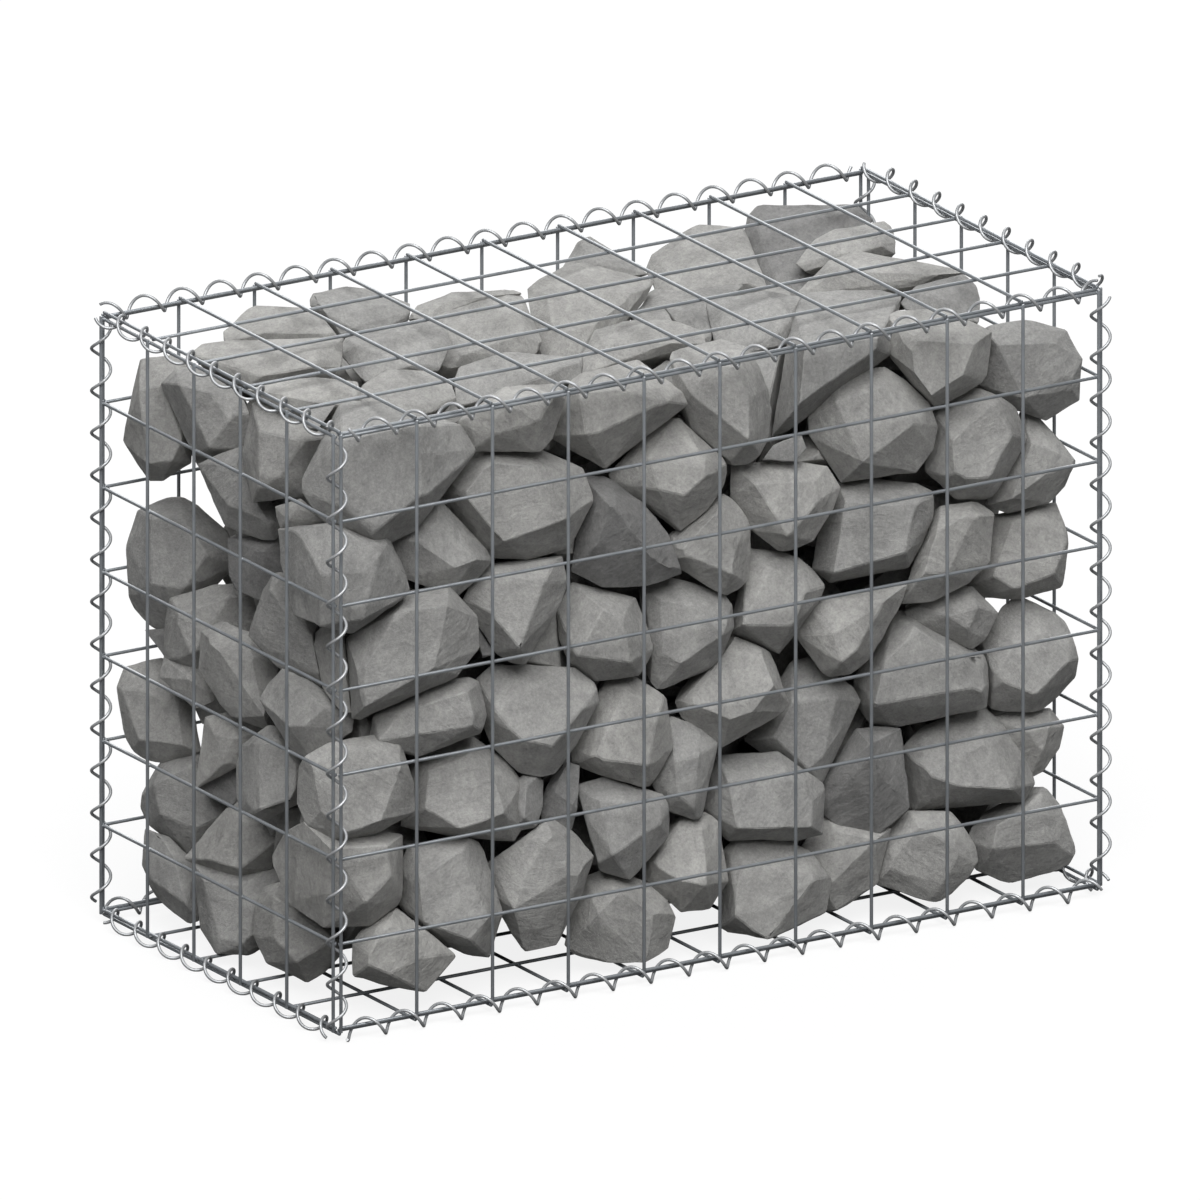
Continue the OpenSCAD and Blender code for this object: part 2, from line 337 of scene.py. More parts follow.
@dataclass(frozen=True)
class Sight:
    """Parallel view of the photograph, and places that are read along it.

    A place is read in centimetres as across and up on the front panel's plane, with its depth behind it.
    """

    basket: Basket
    back: Vector = field(default_factory=lambda: Vector((-0.4963, -0.8101, 0.3122)).normalized())
    drift: float = 0.6126
    sink: float = 0.3854
    width: float = 1.3503
    aim_left: float = 0.00096
    aim_up: float = 0.00090

    @cached_property
    def right(self) -> Vector:
        """Direction to the right of the picture."""
        return Vector((0, 0, 1)).cross(self.back).normalized()

    @cached_property
    def up(self) -> Vector:
        """Direction up the picture."""
        return self.back.cross(self.right).normalized()

    def spot(self, across: float, up: float, depth: float) -> Vector:
        """Point in space of a reading.

        Args:
            across: centimetres from the front panel's left edge.
            up: centimetres above its lower edge.
            depth: centimetres behind the front panel's plane.

        Returns:
            The point in metres.
        """
        half = self.basket.half
        return Vector((
            (across + self.drift * depth) * CM - half.x,
            depth * CM - half.y,
            (up - self.sink * depth) * CM + self.basket.lift,
        ))

    def reading(self, point: Vector) -> Spot:
        """Across and up, in centimetres, at which a point is seen.

        Args:
            point: point in metres.

        Returns:
            The reading on the front panel's plane.
        """
        half = self.basket.half
        depth = (point.y + half.y) / CM
        return (
            (point.x + half.x) / CM - self.drift * depth,
            (point.z - self.basket.lift) / CM + self.sink * depth,
        )


# ---------------------------------------------------------------------------------------------------------
# Meshes


def piece_of(bm: bmesh.types.BMesh, name: str, materials: Sequence[bpy.types.Material]) -> bpy.types.Object:
    """Make an object of a finished mesh, at the origin.

    Args:
        bm: the mesh, which is freed.
        name: name of the object.
        materials: its material slots.

    Returns:
        The object.
    """
    mesh = bpy.data.meshes.new(name)
    bm.to_mesh(mesh)
    bm.free()
    for material in materials:
        mesh.materials.append(material)
    piece = bpy.data.objects.new(name, mesh)
    bpy.context.scene.collection.objects.link(piece)
    return piece


def axis_matrix(start: Vector, end: Vector) -> Matrix:
    """Placement that puts a shape's middle half-way and its Z axis along a line.

    Args:
        start: one end of the line.
        end: the other end.

    Returns:
        The placement.
    """
    way = end - start
    return Matrix.Translation((start + end) / 2) @ way.to_track_quat("Z", "Y").to_matrix().to_4x4()


@dataclass
class MeshPanels:
    """The six welded panels, with round wires, pressed weld spots and cropped wire ends."""

    basket: Basket
    wire_sides: int = 14
    end_bevel: float = 0.0005
    weld_r: float = 0.0017
    weld_wide: float = 1.5
    weld_flat: float = 0.62
    weld_pinch: Spot = (0.85, 1.15)

    def turn(self, side: Turn) -> Matrix:
        """Placement of a flat panel on its side of the basket.

        Args:
            side: side of the basket.

        Returns:
            The placement.
        """
        half = self.basket.half
        stand = Matrix.Rotation(radians(90), 4, "X")
        quarter = radians(90)
        spins = {Turn.FRONT: 0.0, Turn.BACK: 2 * quarter, Turn.LEFT_END: -quarter, Turn.RIGHT_END: quarter}
        if side in spins:
            out = half.y if side in (Turn.FRONT, Turn.BACK) else half.x
            local = Matrix.Rotation(spins[side], 4, "Z") @ Matrix.Translation((0, -out, 0)) @ stand
        else:
            flip = 0.0 if side is Turn.LID else 2 * quarter
            local = Matrix.Rotation(flip, 4, "X") @ Matrix.Translation((0, 0, half.z))
        return Matrix.Translation(self.basket.middle) @ local

    def squares(self, side: Turn) -> tuple[int, int]:
        """Mesh squares of a panel, along its inner wires and across them."""
        x, y, z = self.basket.cells
        if side in (Turn.FRONT, Turn.BACK):
            return x, z
        return (y, z) if side in (Turn.LEFT_END, Turn.RIGHT_END) else (x, y)

    def wire(self, bm: bmesh.types.BMesh, start: Vector, end: Vector) -> None:
        """Add one straight wire with softened ends.

        Args:
            bm: mesh that takes it.
            start: middle of one end.
            end: middle of the other end.
        """
        made = bmesh.ops.create_cone(
            bm, cap_ends=True, segments=self.wire_sides, radius1=self.basket.wire / 2,
            radius2=self.basket.wire / 2, depth=(end - start).length, matrix=axis_matrix(start, end),
        )
        rims = {
            e for v in made["verts"] for e in v.link_edges if any(len(f.verts) > 4 for f in e.link_faces)
        }
        bmesh.ops.bevel(
            bm, geom=list(rims), offset=self.end_bevel, segments=2, profile=0.5, affect="EDGES", material=-1,
        )

    def weld(self, bm: bmesh.types.BMesh, place: Vector, pinch: float) -> None:
        """Add the squeezed metal where two wires are welded.

        Args:
            bm: mesh that takes it.
            place: middle of the weld.
            pinch: size against the usual weld.
        """
        size = self.weld_r * pinch
        flat = Matrix.Diagonal((size * self.weld_wide, size * self.weld_wide, size * self.weld_flat, 1.0))
        bmesh.ops.create_icosphere(bm, subdivisions=2, radius=1.0, matrix=Matrix.Translation(place) @ flat)

    def panel(self, side: Turn, zinc: bpy.types.Material) -> bpy.types.Object:
        """Build one panel.

        Args:
            side: side of the basket.
            zinc: material of the wires.

        Returns:
            The panel's object.
        """
        basket = self.basket
        rng = random.Random(side.value)
        along, across = self.squares(side)
        long_u, long_v = along * basket.pitch / 2, across * basket.pitch / 2
        bm = bmesh.new()
        for i in range(across + 1):
            v = i * basket.pitch - long_v
            self.wire(bm, Vector((-long_u, v, basket.inner_out)), Vector((long_u, v, basket.inner_out)))
        reach = long_v + basket.stub
        for i in range(along + 1):
            u = i * basket.pitch - long_u
            self.wire(bm, Vector((u, -reach, basket.outer_out)), Vector((u, reach, basket.outer_out)))
            for j in range(across + 1):
                v = j * basket.pitch - long_v
                height = (basket.inner_out + basket.outer_out) / 2
                self.weld(bm, Vector((u, v, height)), rng.uniform(*self.weld_pinch))
        bm.transform(self.turn(side))
        for face in bm.faces:
            face.smooth = len(face.verts) <= 4
        return piece_of(bm, f"{side.value}_wires", [zinc])

    def build(self, zinc: bpy.types.Material) -> None:
        for side in Turn:
            piece = self.panel(side, zinc)
            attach(piece, "root")
            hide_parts(f"{side.value}_mesh")
            log.info("%s: %d faces", piece.name, len(piece.data.polygons))


@dataclass(frozen=True)
class Spiral:
    """One spiral binder: its edge, the way it leans off the edge wires and where its turns start."""

    name: str
    direction: int
    sides: tuple[int, int, int]
    lean: float
    start: float


CORNER_NEAR, CORNER_FAR = 55.0, 99.0
TOP_LONG, BOTTOM_LONG, TOP_END, BOTTOM_END = 34.0, 14.0, 25.0, -6.0
SPIRALS: tuple[Spiral, ...] = (
    Spiral("front_left", 2, (-1, -1, 0), CORNER_NEAR, 0.0335),
    Spiral("front_right", 2, (1, -1, 0), CORNER_FAR, 0.0025),
    Spiral("back_left", 2, (-1, 1, 0), CORNER_FAR, 0.043),
    Spiral("back_right", 2, (1, 1, 0), CORNER_NEAR, 0.0415),
    Spiral("top_front", 0, (0, -1, 1), TOP_LONG, 0.036),
    Spiral("top_back", 0, (0, 1, 1), TOP_LONG, 0.0445),
    Spiral("top_left", 1, (-1, 0, 1), TOP_END, 0.0065),
    Spiral("top_right", 1, (1, 0, 1), TOP_END, 0.004),
    Spiral("bottom_front", 0, (0, -1, -1), BOTTOM_LONG, 0.022),
    Spiral("bottom_back", 0, (0, 1, -1), BOTTOM_LONG, 0.0115),
    Spiral("bottom_left", 1, (-1, 0, -1), BOTTOM_END, 0.021),
    Spiral("bottom_right", 1, (1, 0, -1), BOTTOM_END, 0.024),
)


@dataclass
class SpiralBinders:
    """The twelve spirals that lace the panels together."""

    basket: Basket
    wire: float = 0.0037
    wire_sides: int = 10
    steps_per_turn: int = 28
    turn_parts: int = 8
    end_bevel: float = 0.0004

    def centre(self, direction: int, lean: float) -> tuple[float, float]:
        """Coil axis, as distances outside the two panels of the edge.

        Args:
            direction: axis of the edge, 0 to 2.
            lean: way off the edge wires, in degrees from the first panel's outward direction.

        Returns:
            Distances outside the first and the second panel.
        """
        basket = self.basket
        pairs = (
            ((basket.inner_out, 0.0), (0.0, basket.inner_out)),
            ((basket.inner_out, 0.0), (0.0, basket.outer_out)),
            ((basket.outer_out, 0.0), (0.0, basket.outer_out)),
        )
        first, second = (Vector(p) for p in pairs[direction])
        middle = (first + second) / 2
        way = Vector((cos(radians(lean)), sin(radians(lean))))
        section = basket.spiral_wire * sqrt(pi) / 4
        reach = basket.coil_r - section - basket.wire / 2 / cos(pi / 8) - basket.seat_gap
        steps = []
        for wire in (first, second):
            off = middle - wire
            along = off.dot(way)
            steps.append(sqrt(along * along - off.dot(off) + reach * reach) - along)
        spot = middle + way * min(steps)
        return spot.x, spot.y

    def coil(self, length: float, start: float) -> bmesh.types.BMesh:
        """Wind a right-handed coil about Z, with its middle at the origin.

        Args:
            length: room along the edge.
            start: height above the lower end at which the wire crosses the +X side.

        Returns:
            The coil's mesh.
        """
        pitch = self.basket.coil_pitch
        first = -int(start / pitch * self.turn_parts)
        last = int((length - start) / pitch * self.turn_parts)
        turns = (last - first) / self.turn_parts
        steps = round(turns * self.steps_per_turn)
        rise = atan2(pitch, tau * self.basket.coil_r)
        height = start + pitch * first / self.turn_parts - length / 2
        bm = bmesh.new()
        place = (
            Matrix.Rotation(tau * first / self.turn_parts, 4, "Z")
            @ Matrix.Translation((self.basket.coil_r, 0, height))
            @ Matrix.Rotation(radians(90) + rise, 4, "X")
        )
        bmesh.ops.create_circle(
            bm, cap_ends=True, segments=self.wire_sides, radius=self.wire / 2, matrix=place,
        )
        bmesh.ops.spin(
            bm, geom=bm.verts[:] + bm.edges[:] + bm.faces[:], cent=(0, 0, 0), axis=(0, 0, 1),
            dvec=(0, 0, pitch * turns / steps), angle=tau * turns, steps=steps, use_merge=False,
        )
        bmesh.ops.recalc_face_normals(bm, faces=bm.faces)
        caps = {e for f in bm.faces if len(f.verts) > 4 for e in f.edges}
        bmesh.ops.bevel(
            bm, geom=list(caps), offset=self.end_bevel, segments=2, profile=0.5, affect="EDGES", material=-1,
        )
        return bm

    def build(self, zinc: bpy.types.Material) -> None:
        half = self.basket.half
        for spiral in SPIRALS:
            out = self.centre(spiral.direction, spiral.lean)
            others = [a for a in range(3) if a != spiral.direction]
            spot = Vector((0.0, 0.0, 0.0))
            for axis, distance in zip(others, out):
                spot[axis] = spiral.sides[axis] * (half[axis] + distance)
            bm = self.coil(2 * half[spiral.direction], spiral.start)
            turn = Matrix.Rotation(radians(120 * (spiral.direction + 1)), 4, Vector((1, 1, 1)))
            bm.transform(Matrix.Translation(self.basket.middle + spot) @ turn)
            for face in bm.faces:
                face.smooth = len(face.verts) <= 4
            piece = piece_of(bm, f"spiral_{spiral.name}", [zinc])
            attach(piece, "root")
            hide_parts(f"binder_{spiral.name}")
            log.info("%s: %d faces", piece.name, len(piece.data.polygons))


# ---------------------------------------------------------------------------------------------------------
# Stones


@dataclass(frozen=True)
class Rock:
    """A stone that shows, read along the view.

    Attributes:
        rim: its outline, as readings.
        crest: corners of its facets inside the outline, nearer to the camera.
        side: side of the basket that it lies against.
        deep: centimetres that it lies further in than the side.
        tone: colour of the stone, from 0 for dark to 1 for light, or None for a random one; on the stones
            further in, a low tone is painted shade.
        tip: slope of the crest, across and up, in centimetres of depth per centimetre.
    """

    rim: tuple[Spot, ...]
    crest: tuple[Spot, ...] = ()
    side: Side = Side.FRONT
    deep: float = 0.0
    tone: float | None = None
    tip: Spot = (0.0, 0.0)


# Short names of the sides, for the readings
L, T = Side.LEFT, Side.TOP

ROCKS: tuple[Rock, ...] = (
    # Corner stones at the front left, which show on the end too
    Rock(((.5, 74), (5.2, 73.1), (8, 71), (15.9, 68.6), (17.8, 65.2), (14.4, 62.8), (9.9, 57.2), (4.5, 56.1),
          (-2, 60.7), (-4.5, 64.4), (-4.4, 65.8), (-1.6, 69.9)),
         ((.5, 69.5), (8.7, 69.8), (10.9, 66), (10.9, 60.5), (5.1, 57.4), (1, 61.5))),
    Rock(((-7.6, 60.2), (-5.6, 59.6), (-1.1, 59.8), (4.5, 56.1), (6.8, 56.7), (8.7, 52), (9.2, 50),
          (1.8, 46.7), (-2.3, 48.3), (-5.6, 50), (-7, 55.4)),
         ((-5, 59), (-2.3, 54), (3.3, 47.8), (3.5, 53.5), (5.6, 55.4))),
    Rock(((-4.1, 32.7), (-1.1, 33.7), (4.5, 33.7), (7.9, 32.6), (8.5, 30.4), (9.7, 27.3), (9.8, 24.1),
          (8.2, 23.4), (5.6, 22.5), (.4, 22), (-.9, 22.6), (-3.7, 24.8), (-5.1, 27.6), (-4.8, 31.7)),
         ((8.3, 29.3), (5.7, 23.5), (1.1, 22.8), (-2.3, 26), (-4.4, 28), (-3.5, 31.5), (4, 32.6))),
    Rock(((-8.7, 21.2), (-6.6, 24.3), (-4.4, 25), (-1.1, 22.6), (5.6, 22.3), (8.2, 21.4), (8.2, 15.2),
          (8, 13.5), (4, 11.7), (-1.8, 12.4), (-6.6, 16.2), (-7.8, 19.3)),
         ((-6.3, 20.5), (-2, 16.4), (3.7, 14.1), (7.2, 16.9), (6.5, 20.5), (-1, 21.5))),
    Rock(((-9.4, 18.2), (-7.5, 18.5), (-6.6, 16), (-1.8, 12.5), (.3, 10.6), (-.1, 8.7), (-2, 7.1),
          (-4.2, 6.4), (-6.1, 7.7), (-9.2, 9.4), (-9.9, 11), (-11, 12.8), (-10.7, 16)),
         ((-8.6, 17.4), (-8.5, 12), (-6.6, 10.4), (-.5, 10.5), (-5.6, 8.7), (-6.2, 15)), side=L),
    # Front, from the top row down
    Rock(((15.9, 69), (22, 72), (29, 71.2), (29.9, 69.7), (28.2, 65.2), (26.6, 63.8), (20.6, 65.6),
          (17.8, 65.4)),
         ((20.6, 66.6), (26.6, 67.4), (21, 70.5), (28.6, 70))),
    Rock(((14.4, 62.8), (18.5, 65.3), (21, 65.5), (26.5, 63.8), (30, 61.3), (32, 60.7), (33.5, 56.9),
          (31.1, 53), (30.3, 51.8), (24.9, 51.5), (20.6, 52.4), (19.2, 53.3), (14.2, 60.7)),
         ((16.6, 60.3), (21.8, 53.8), (24.9, 59.5), (20, 63.6), (26, 62), (30, 55))),
    Rock(((7, 56.7), (10, 57.3), (13.5, 60), (15, 58), (19.3, 53.3), (20, 52), (17.9, 49.8), (15.5, 48.5),
          (14.5, 50.2), (8.8, 52)),
         ((15.4, 51.8), (10.5, 55.7), (13, 58), (18.3, 52.3))),
    Rock(((3.1, 46.2), (9.2, 49.9), (14.4, 49.8), (15.5, 48.4), (18.5, 45.1), (17.5, 44.2), (18.5, 41.7),
          (16, 39.1), (12.8, 38.3), (3.4, 36.4), (2.3, 36.7), (1.5, 46)),
         ((3.4, 37.4), (12.8, 40.4), (12, 45.6), (14.5, 47.5), (2.7, 41), (8, 48))),
    Rock(((16.8, 47.8), (18, 49.8), (20.1, 51.9), (29.2, 51.3), (30, 47.5), (29.3, 45.6), (28.6, 44.4),
          (24.7, 39.1), (22.8, 39.7), (20.9, 41.1)),
         ((20.1, 45.7), (24, 40.8), (21.8, 46.1), (27.3, 48), (21, 50.3))),
    Rock(((5, 36.2), (10.1, 37.7), (14.7, 38.6), (17, 38.4), (18.2, 37.7), (19.4, 33.7), (18.5, 31.8),
          (10.4, 30.4), (8.7, 31.2), (4.9, 32.6), (4.6, 34)),
         ((5.3, 33), (16.8, 34.2), (17, 37), (18.4, 32.8), (8.5, 36))),
    Rock(((18.2, 37.9), (20.6, 39.2), (27.3, 38), (31, 37.1), (34.1, 34.5), (34.2, 32.8), (31, 28),
          (28.5, 25.5), (26.8, 25.4), (24, 26.3), (20.6, 29.9), (19.4, 32.5)),
         ((28.4, 28.4), (24.2, 30), (32, 32), (27, 36), (20.6, 33.5))),
    Rock(((10, 29.8), (17.8, 31.1), (22.3, 27.5), (24, 25), (24, 19.6), (23, 18.3), (20.6, 18.8),
          (14.9, 20.3), (8.6, 22.4), (9.9, 24.1)),
         ((20.9, 25.3), (22, 21.6), (16.1, 20.8), (11.5, 24), (12, 28.4), (17.5, 29.5))),
    Rock(((8, 16.4), (9.4, 19.7), (17.8, 19.4), (19.1, 17.6), (20.1, 12.7), (21.5, 10), (19.8, 5.2),
          (17.3, 5.8), (12, 8.9), (8.1, 13.5)),
         ((16, 18.2), (10.7, 15.7), (11.4, 10.4), (17.5, 7.4), (20, 9.4), (18.6, 13))),
    Rock(((2.2, 9.7), (4.9, 12.7), (7.4, 13.2), (10.1, 10.3), (12, 8.7), (15.6, 6.2), (13, 4.2), (11.3, 2.6),
          (6.8, 4), (2.4, 5.9)),
         ((4.4, 9.5), (4, 6.7), (6.8, 5.2), (11, 6.4), (7, 11))),
    Rock(((19.8, 17.3), (24, 19.5), (27, 20.9), (31, 17.5), (33.4, 14.5), (32, 10.3), (31.6, 9.7),
          (28.7, 5.3), (24.7, 5.1), (21.6, 10), (20.2, 12.8)),
         ((25, 14.2), (23.2, 10), (32.2, 13.5), (28, 18))),
    Rock(((31, 22.9), (35.3, 23.4), (40.5, 20.9), (42.7, 20.2), (43.5, 18.5), (43.3, 15.2), (40.5, 12.9),
          (38.6, 11.2), (33.3, 13.5), (33.4, 14.8)),
         ((36.2, 14.2), (42.6, 16.9), (34.6, 21.1), (39, 19.8))),
    Rock(((31, 8), (32.7, 12), (36, 12.6), (40.8, 9.9), (43.1, 7.6), (44.3, 5.5), (43.4, 2.1), (40.3, 1.1),
          (35.3, 1.9), (30, 4)),
         ((34.3, 7.5), (40, 5.5), (37.3, 9.7), (42, 6))),
    Rock(((43.9, 17.1), (47.4, 16.5), (48.3, 17.2), (50, 15.6), (51.2, 8.8), (48.9, 6.1), (45.3, 6.4),
          (40.7, 10.7), (40.7, 12.8), (43.4, 15.1)),
         ((41.6, 12.2), (45, 16), (48, 15.2), (48.7, 10), (45, 9.7), (48.6, 8.5))),
    Rock(((43.9, 29.1), (45.8, 28.1), (47.9, 27.3), (50, 25.1), (48.5, 20.4), (48, 17.4), (47.4, 16.7),
          (43.5, 18.6), (41.6, 22), (44, 25.6)),
         ((44.9, 19.8), (47, 17.9), (44.5, 24), (47.5, 24))),
    Rock(((49, 19.8), (50.1, 23.4), (57.9, 22.5), (61.7, 18.3), (63.8, 17.9), (63.6, 12.1), (60.5, 12),
          (55, 13.1), (51.7, 13.5), (50.5, 14.6), (48.5, 17.6)),
         ((52.7, 14.5), (62.6, 13), (59.6, 19.5), (51.5, 20.5), (62.5, 16.8))),
    Rock(((51, 12.2), (52.4, 13.3), (55.8, 12.8), (59.6, 11.6), (62, 10.2), (63.8, 8.4), (64.9, 6.8),
          (64, 2.9), (59.8, 1.7), (56.6, 1), (51.7, 2.6), (50.4, 3.6), (51.2, 8.7)),
         ((52, 4.6), (56.2, 4.4), (56.5, 8.1), (63, 6.8), (53.5, 10.5)), tip=(0, .2)),
    Rock(((65.8, 20.4), (68.4, 23.4), (70.9, 23.2), (74.1, 22.5), (74.7, 18.3), (75.2, 13.3), (71.4, 11.1),
          (66, 12.9), (64.1, 14.6), (64.1, 18.2)),
         ((70.2, 21.6), (71.1, 18), (68, 18), (70.5, 13.5)), tone=.15, deep=.8, tip=(-.2, -.4)),
    Rock(((74.8, 20.3), (77.3, 22.5), (83.5, 23.3), (85.2, 23.2), (87.8, 20.8), (90.2, 17.8), (91.6, 13.4),
          (90.2, 11.5), (76.1, 12.9), (75.4, 13.3), (74.9, 18.3)),
         ((77.5, 16.6), (85.2, 19.1), (82, 14.5), (88.8, 13), (86.5, 17.5))),
    Rock(((86.5, 21.6), (89, 22), (93.8, 21.5), (95.5, 19.2), (95, 16.9), (93, 14.7), (91, 14.2), (89, 16.4),
          (88, 19)),
         ((93, 16.6), (94, 19.6), (90.8, 19.6)), deep=1.5),
    Rock(((72.9, 11), (75.4, 12.6), (80.7, 11.6), (82.1, 9.9), (83.9, 7.2), (84.3, 4.7), (80.7, 2.2),
          (79, 1.5), (71.2, 5), (72.9, 9.7)),
         ((73.2, 6.8), (78.6, 7), (80, 4.2), (81.6, 6.8), (77, 10.6))),
    Rock(((64.2, 14.2), (66.7, 12.6), (72.5, 10.9), (72.3, 10.1), (70.9, 5.2), (67.6, 3.5), (64.9, 2.5),
          (64.4, 3.2), (63.9, 6.4), (62.6, 9.1), (61.4, 10.8), (62.8, 11.8)),
         ((67.9, 7.8), (71.1, 10.1), (65.8, 11.9), (64.9, 5.8)), deep=.8),
    Rock(((84.1, 9.7), (85.1, 11), (91.7, 13), (93.3, 12), (95, 9.9), (96.3, 7.8), (97.1, 3.5), (94.7, 2.5),
          (88.8, 2.2), (87.6, 2.6), (84.6, 4), (83.2, 7.8)),
         ((86.5, 6.3), (90.2, 7.1), (94.6, 5.7), (92, 10.5), (87, 9.3))),
    # Front, middle rows
    Rock(((32.8, 59.4), (35, 59.2), (36.4, 58.3), (40, 55.3), (43.3, 51.1), (43.1, 48.4), (45.2, 46.2),
          (40.5, 45.6), (35, 46.5), (31.1, 49), (31.6, 53.3), (33.6, 56.6)),
         ((34.1, 51.2), (39.3, 51.4), (36, 56), (41.5, 48.5)), tone=.1, deep=.6, tip=(0, -.5)),
    Rock(((29.2, 44.5), (31, 47.3), (35, 45.7), (39.1, 44.1), (40, 42), (41.4, 38), (39.6, 35.2),
          (34.1, 35.5), (31, 37.5), (29.5, 40.9)),
         ((38.6, 36.6), (35, 43.6), (31.5, 38.6), (37.6, 42))),
    Rock(((39.7, 45.2), (44.1, 45.6), (50.8, 42.3), (51.7, 41), (51.9, 38.5), (50.5, 35.7), (48.6, 34.1),
          (43.1, 33.1), (42.2, 33.2), (40.6, 35.2), (41.6, 38), (40.1, 42)),
         ((45.3, 35.4), (50.8, 37.8), (47.4, 41.6), (42.5, 43.5), (42.8, 37))),
    Rock(((54.2, 47.3), (58.4, 46.2), (60.8, 45.5), (62.7, 43.4), (64, 41.3), (63.3, 39.8), (60.5, 36.9),
          (58.3, 34.6), (52.1, 38.1), (54, 43.6)),
         ((53.4, 38.5), (60, 37.3), (61.8, 41), (57, 44.6))),
    Rock(((44.7, 31.3), (45.7, 29.0), (50.8, 24.8), (55.1, 26.4), (58.5, 27.5), (59.1, 28.4),
          (57.9, 30.3), (57.5, 32.8), (56.4, 35.1), (51.9, 37.7), (50.1, 35.4), (47.0, 33.8), (45.0, 32.5)),
         ((51.8, 27.6), (54.7, 28.1), (57.6, 30.7), (55.8, 35.2), (51.9, 36.7), (46.4, 30.6))),
    Rock(((34.7, 34.8), (39.6, 34.9), (42.1, 33), (43, 32.3), (43.9, 25.7), (40.8, 21.4), (34.8, 23.9),
          (31.1, 26.3), (31.1, 27.8), (34.2, 31.8)),
         ((37.9, 33.6), (37.8, 30.3), (42.4, 30), (41, 24), (34, 26))),
    Rock(((62.9, 43.8), (64, 49), (66.1, 53.2), (70.4, 52.9), (75.9, 51.3), (78.4, 50.1), (78.3, 47),
          (77, 44.4), (75.1, 41.8), (65.2, 41.8)),
         ((65.5, 42.6), (73, 45.5), (67, 51), (76, 48.6), (75, 43.4))),
    Rock(((52.3, 57.6), (59.6, 56.8), (64.3, 55.3), (66, 52.6), (65, 50.3), (62.6, 47.2), (58.6, 46.4),
          (54.7, 49.8), (52.1, 53.8)),
         ((55, 55), (63, 54), (63.5, 51.5), (59.5, 48))),
    Rock(((78.5, 47.9), (84.2, 47.7), (86.3, 46), (85.7, 40.4), (83, 38.5), (78.6, 37.3), (74.4, 37.7),
          (75.3, 39.9), (78.1, 45)),
         ((84, 46.6), (80.5, 40), (77.3, 40.6), (79.4, 46))),
    Rock(((86.5, 45.7), (94.5, 45.8), (94.6, 44.9), (96.2, 41.7), (95.5, 36), (90, 35.6), (85.5, 36.5),
          (83.4, 37.9), (85.8, 39.8)),
         ((89.2, 36.6), (94.6, 37.5), (86.5, 38.6), (89.2, 44.8), (93, 43.6))),
    Rock(((62.1, 39), (64, 39.7), (75, 39.6), (74.4, 37.8), (70.5, 32.4), (70, 31.7), (67.6, 30.5),
          (65, 30.6), (64, 31.4), (60.6, 36.1)),
         ((65.4, 35.4), (72.4, 38.4), (66.4, 31.8), (68.5, 33))),
    Rock(((68.3, 29.5), (70.4, 32.4), (73.5, 36.5), (76.1, 36), (79.5, 33.4), (83.3, 30.5), (85, 29.5),
          (85.8, 25.9), (85.2, 23.3), (73.5, 23.2), (70.4, 24.3), (68.8, 26.5)),
         ((70.9, 26), (78.8, 26.9), (84.8, 25.8), (72, 31), (76.5, 34), (82, 30))),
    Rock(((74.6, 37.3), (77, 38), (80, 38.5), (83.5, 37.9), (85, 36), (86.8, 34.2), (85.3, 31.6),
          (83.5, 30.7),
          (80.7, 32), (76, 34.5)),
         ((84.4, 35.5), (83.2, 33), (80.5, 35)), deep=1.5),
    Rock(((89.6, 35.6), (94.5, 32.7), (95.8, 31.5), (96.6, 29.9), (97.5, 27), (97.1, 25), (95, 23.3),
          (91.7, 21.4), (90.4, 21.6), (85.8, 23.6), (86.1, 25.9), (85.3, 30.9), (87.8, 34.4)),
         ((86.8, 26.4), (92.1, 23.6), (96.6, 26.9), (89, 30), (93.5, 31))),
    # Front, upper rows
    Rock(((62.4, 61.5), (65.2, 65), (67.1, 65.9), (72.1, 65.7), (74.7, 63.7), (77.7, 60.6), (78.8, 57.8),
          (78.2, 55.3), (76, 53.1), (66.6, 53.5), (62.6, 59.5)),
         ((65.7, 62.8), (71.7, 61), (72.2, 63.8), (69.3, 55), (76, 58.5))),
    Rock(((72.6, 67.8), (72.8, 71.5), (74, 72), (79, 71.4), (82.4, 69.9), (85.9, 67.6), (85.3, 62.8),
          (84.6, 62.1), (80.1, 60.5), (78, 60.4), (75.2, 65.1)),
         ((76.1, 64.5), (78.3, 61.4), (82.5, 63.2), (84, 66.6), (75.5, 68.5))),
    Rock(((85.3, 68.2), (92.1, 67.9), (95.7, 66.3), (97.9, 62.3), (97.5, 57.8), (93.3, 56.2), (89.5, 58.1),
          (88.5, 59.8), (84.8, 61.7)),
         ((96.4, 59.5), (94.7, 64.9), (90.9, 62.7), (90.5, 59), (87, 66))),
    Rock(((78.6, 59.4), (84.2, 61.5), (87.8, 59.9), (89, 58.7), (90, 55.9), (90.7, 54), (86.9, 48.9),
          (85.4, 47.9), (82.6, 47.9), (80.4, 50.1), (77.7, 52.8), (78.4, 55.2)),
         ((86.6, 58.9), (81.1, 56.2), (89, 55), (86, 50.4), (81.5, 51))),
    Rock(((90.1, 57.2), (91.6, 57.1), (95, 53.2), (97.3, 50.2), (95.7, 47.9), (93.8, 46.4), (88.6, 46.1),
          (85.5, 47.4), (91, 54)),
         ((94, 52.4), (93.3, 49.4), (89, 47.4), (91.6, 53.5))),
    Rock(((28.3, 65.3), (30.9, 71.2), (32.3, 71.8), (39.4, 72.1), (45, 67.6), (45.8, 65.9), (40.5, 63.4),
          (35.3, 60.5), (31.1, 63.2)),
         ((32.7, 64.5), (34.7, 64.6), (36.7, 69.4), (31.8, 69.8), (43, 66.8))),
    Rock(((36, 59.4), (41, 63.4), (44.5, 64.6), (47.6, 61.6), (51.3, 58), (50.5, 55.5), (48.4, 53.1),
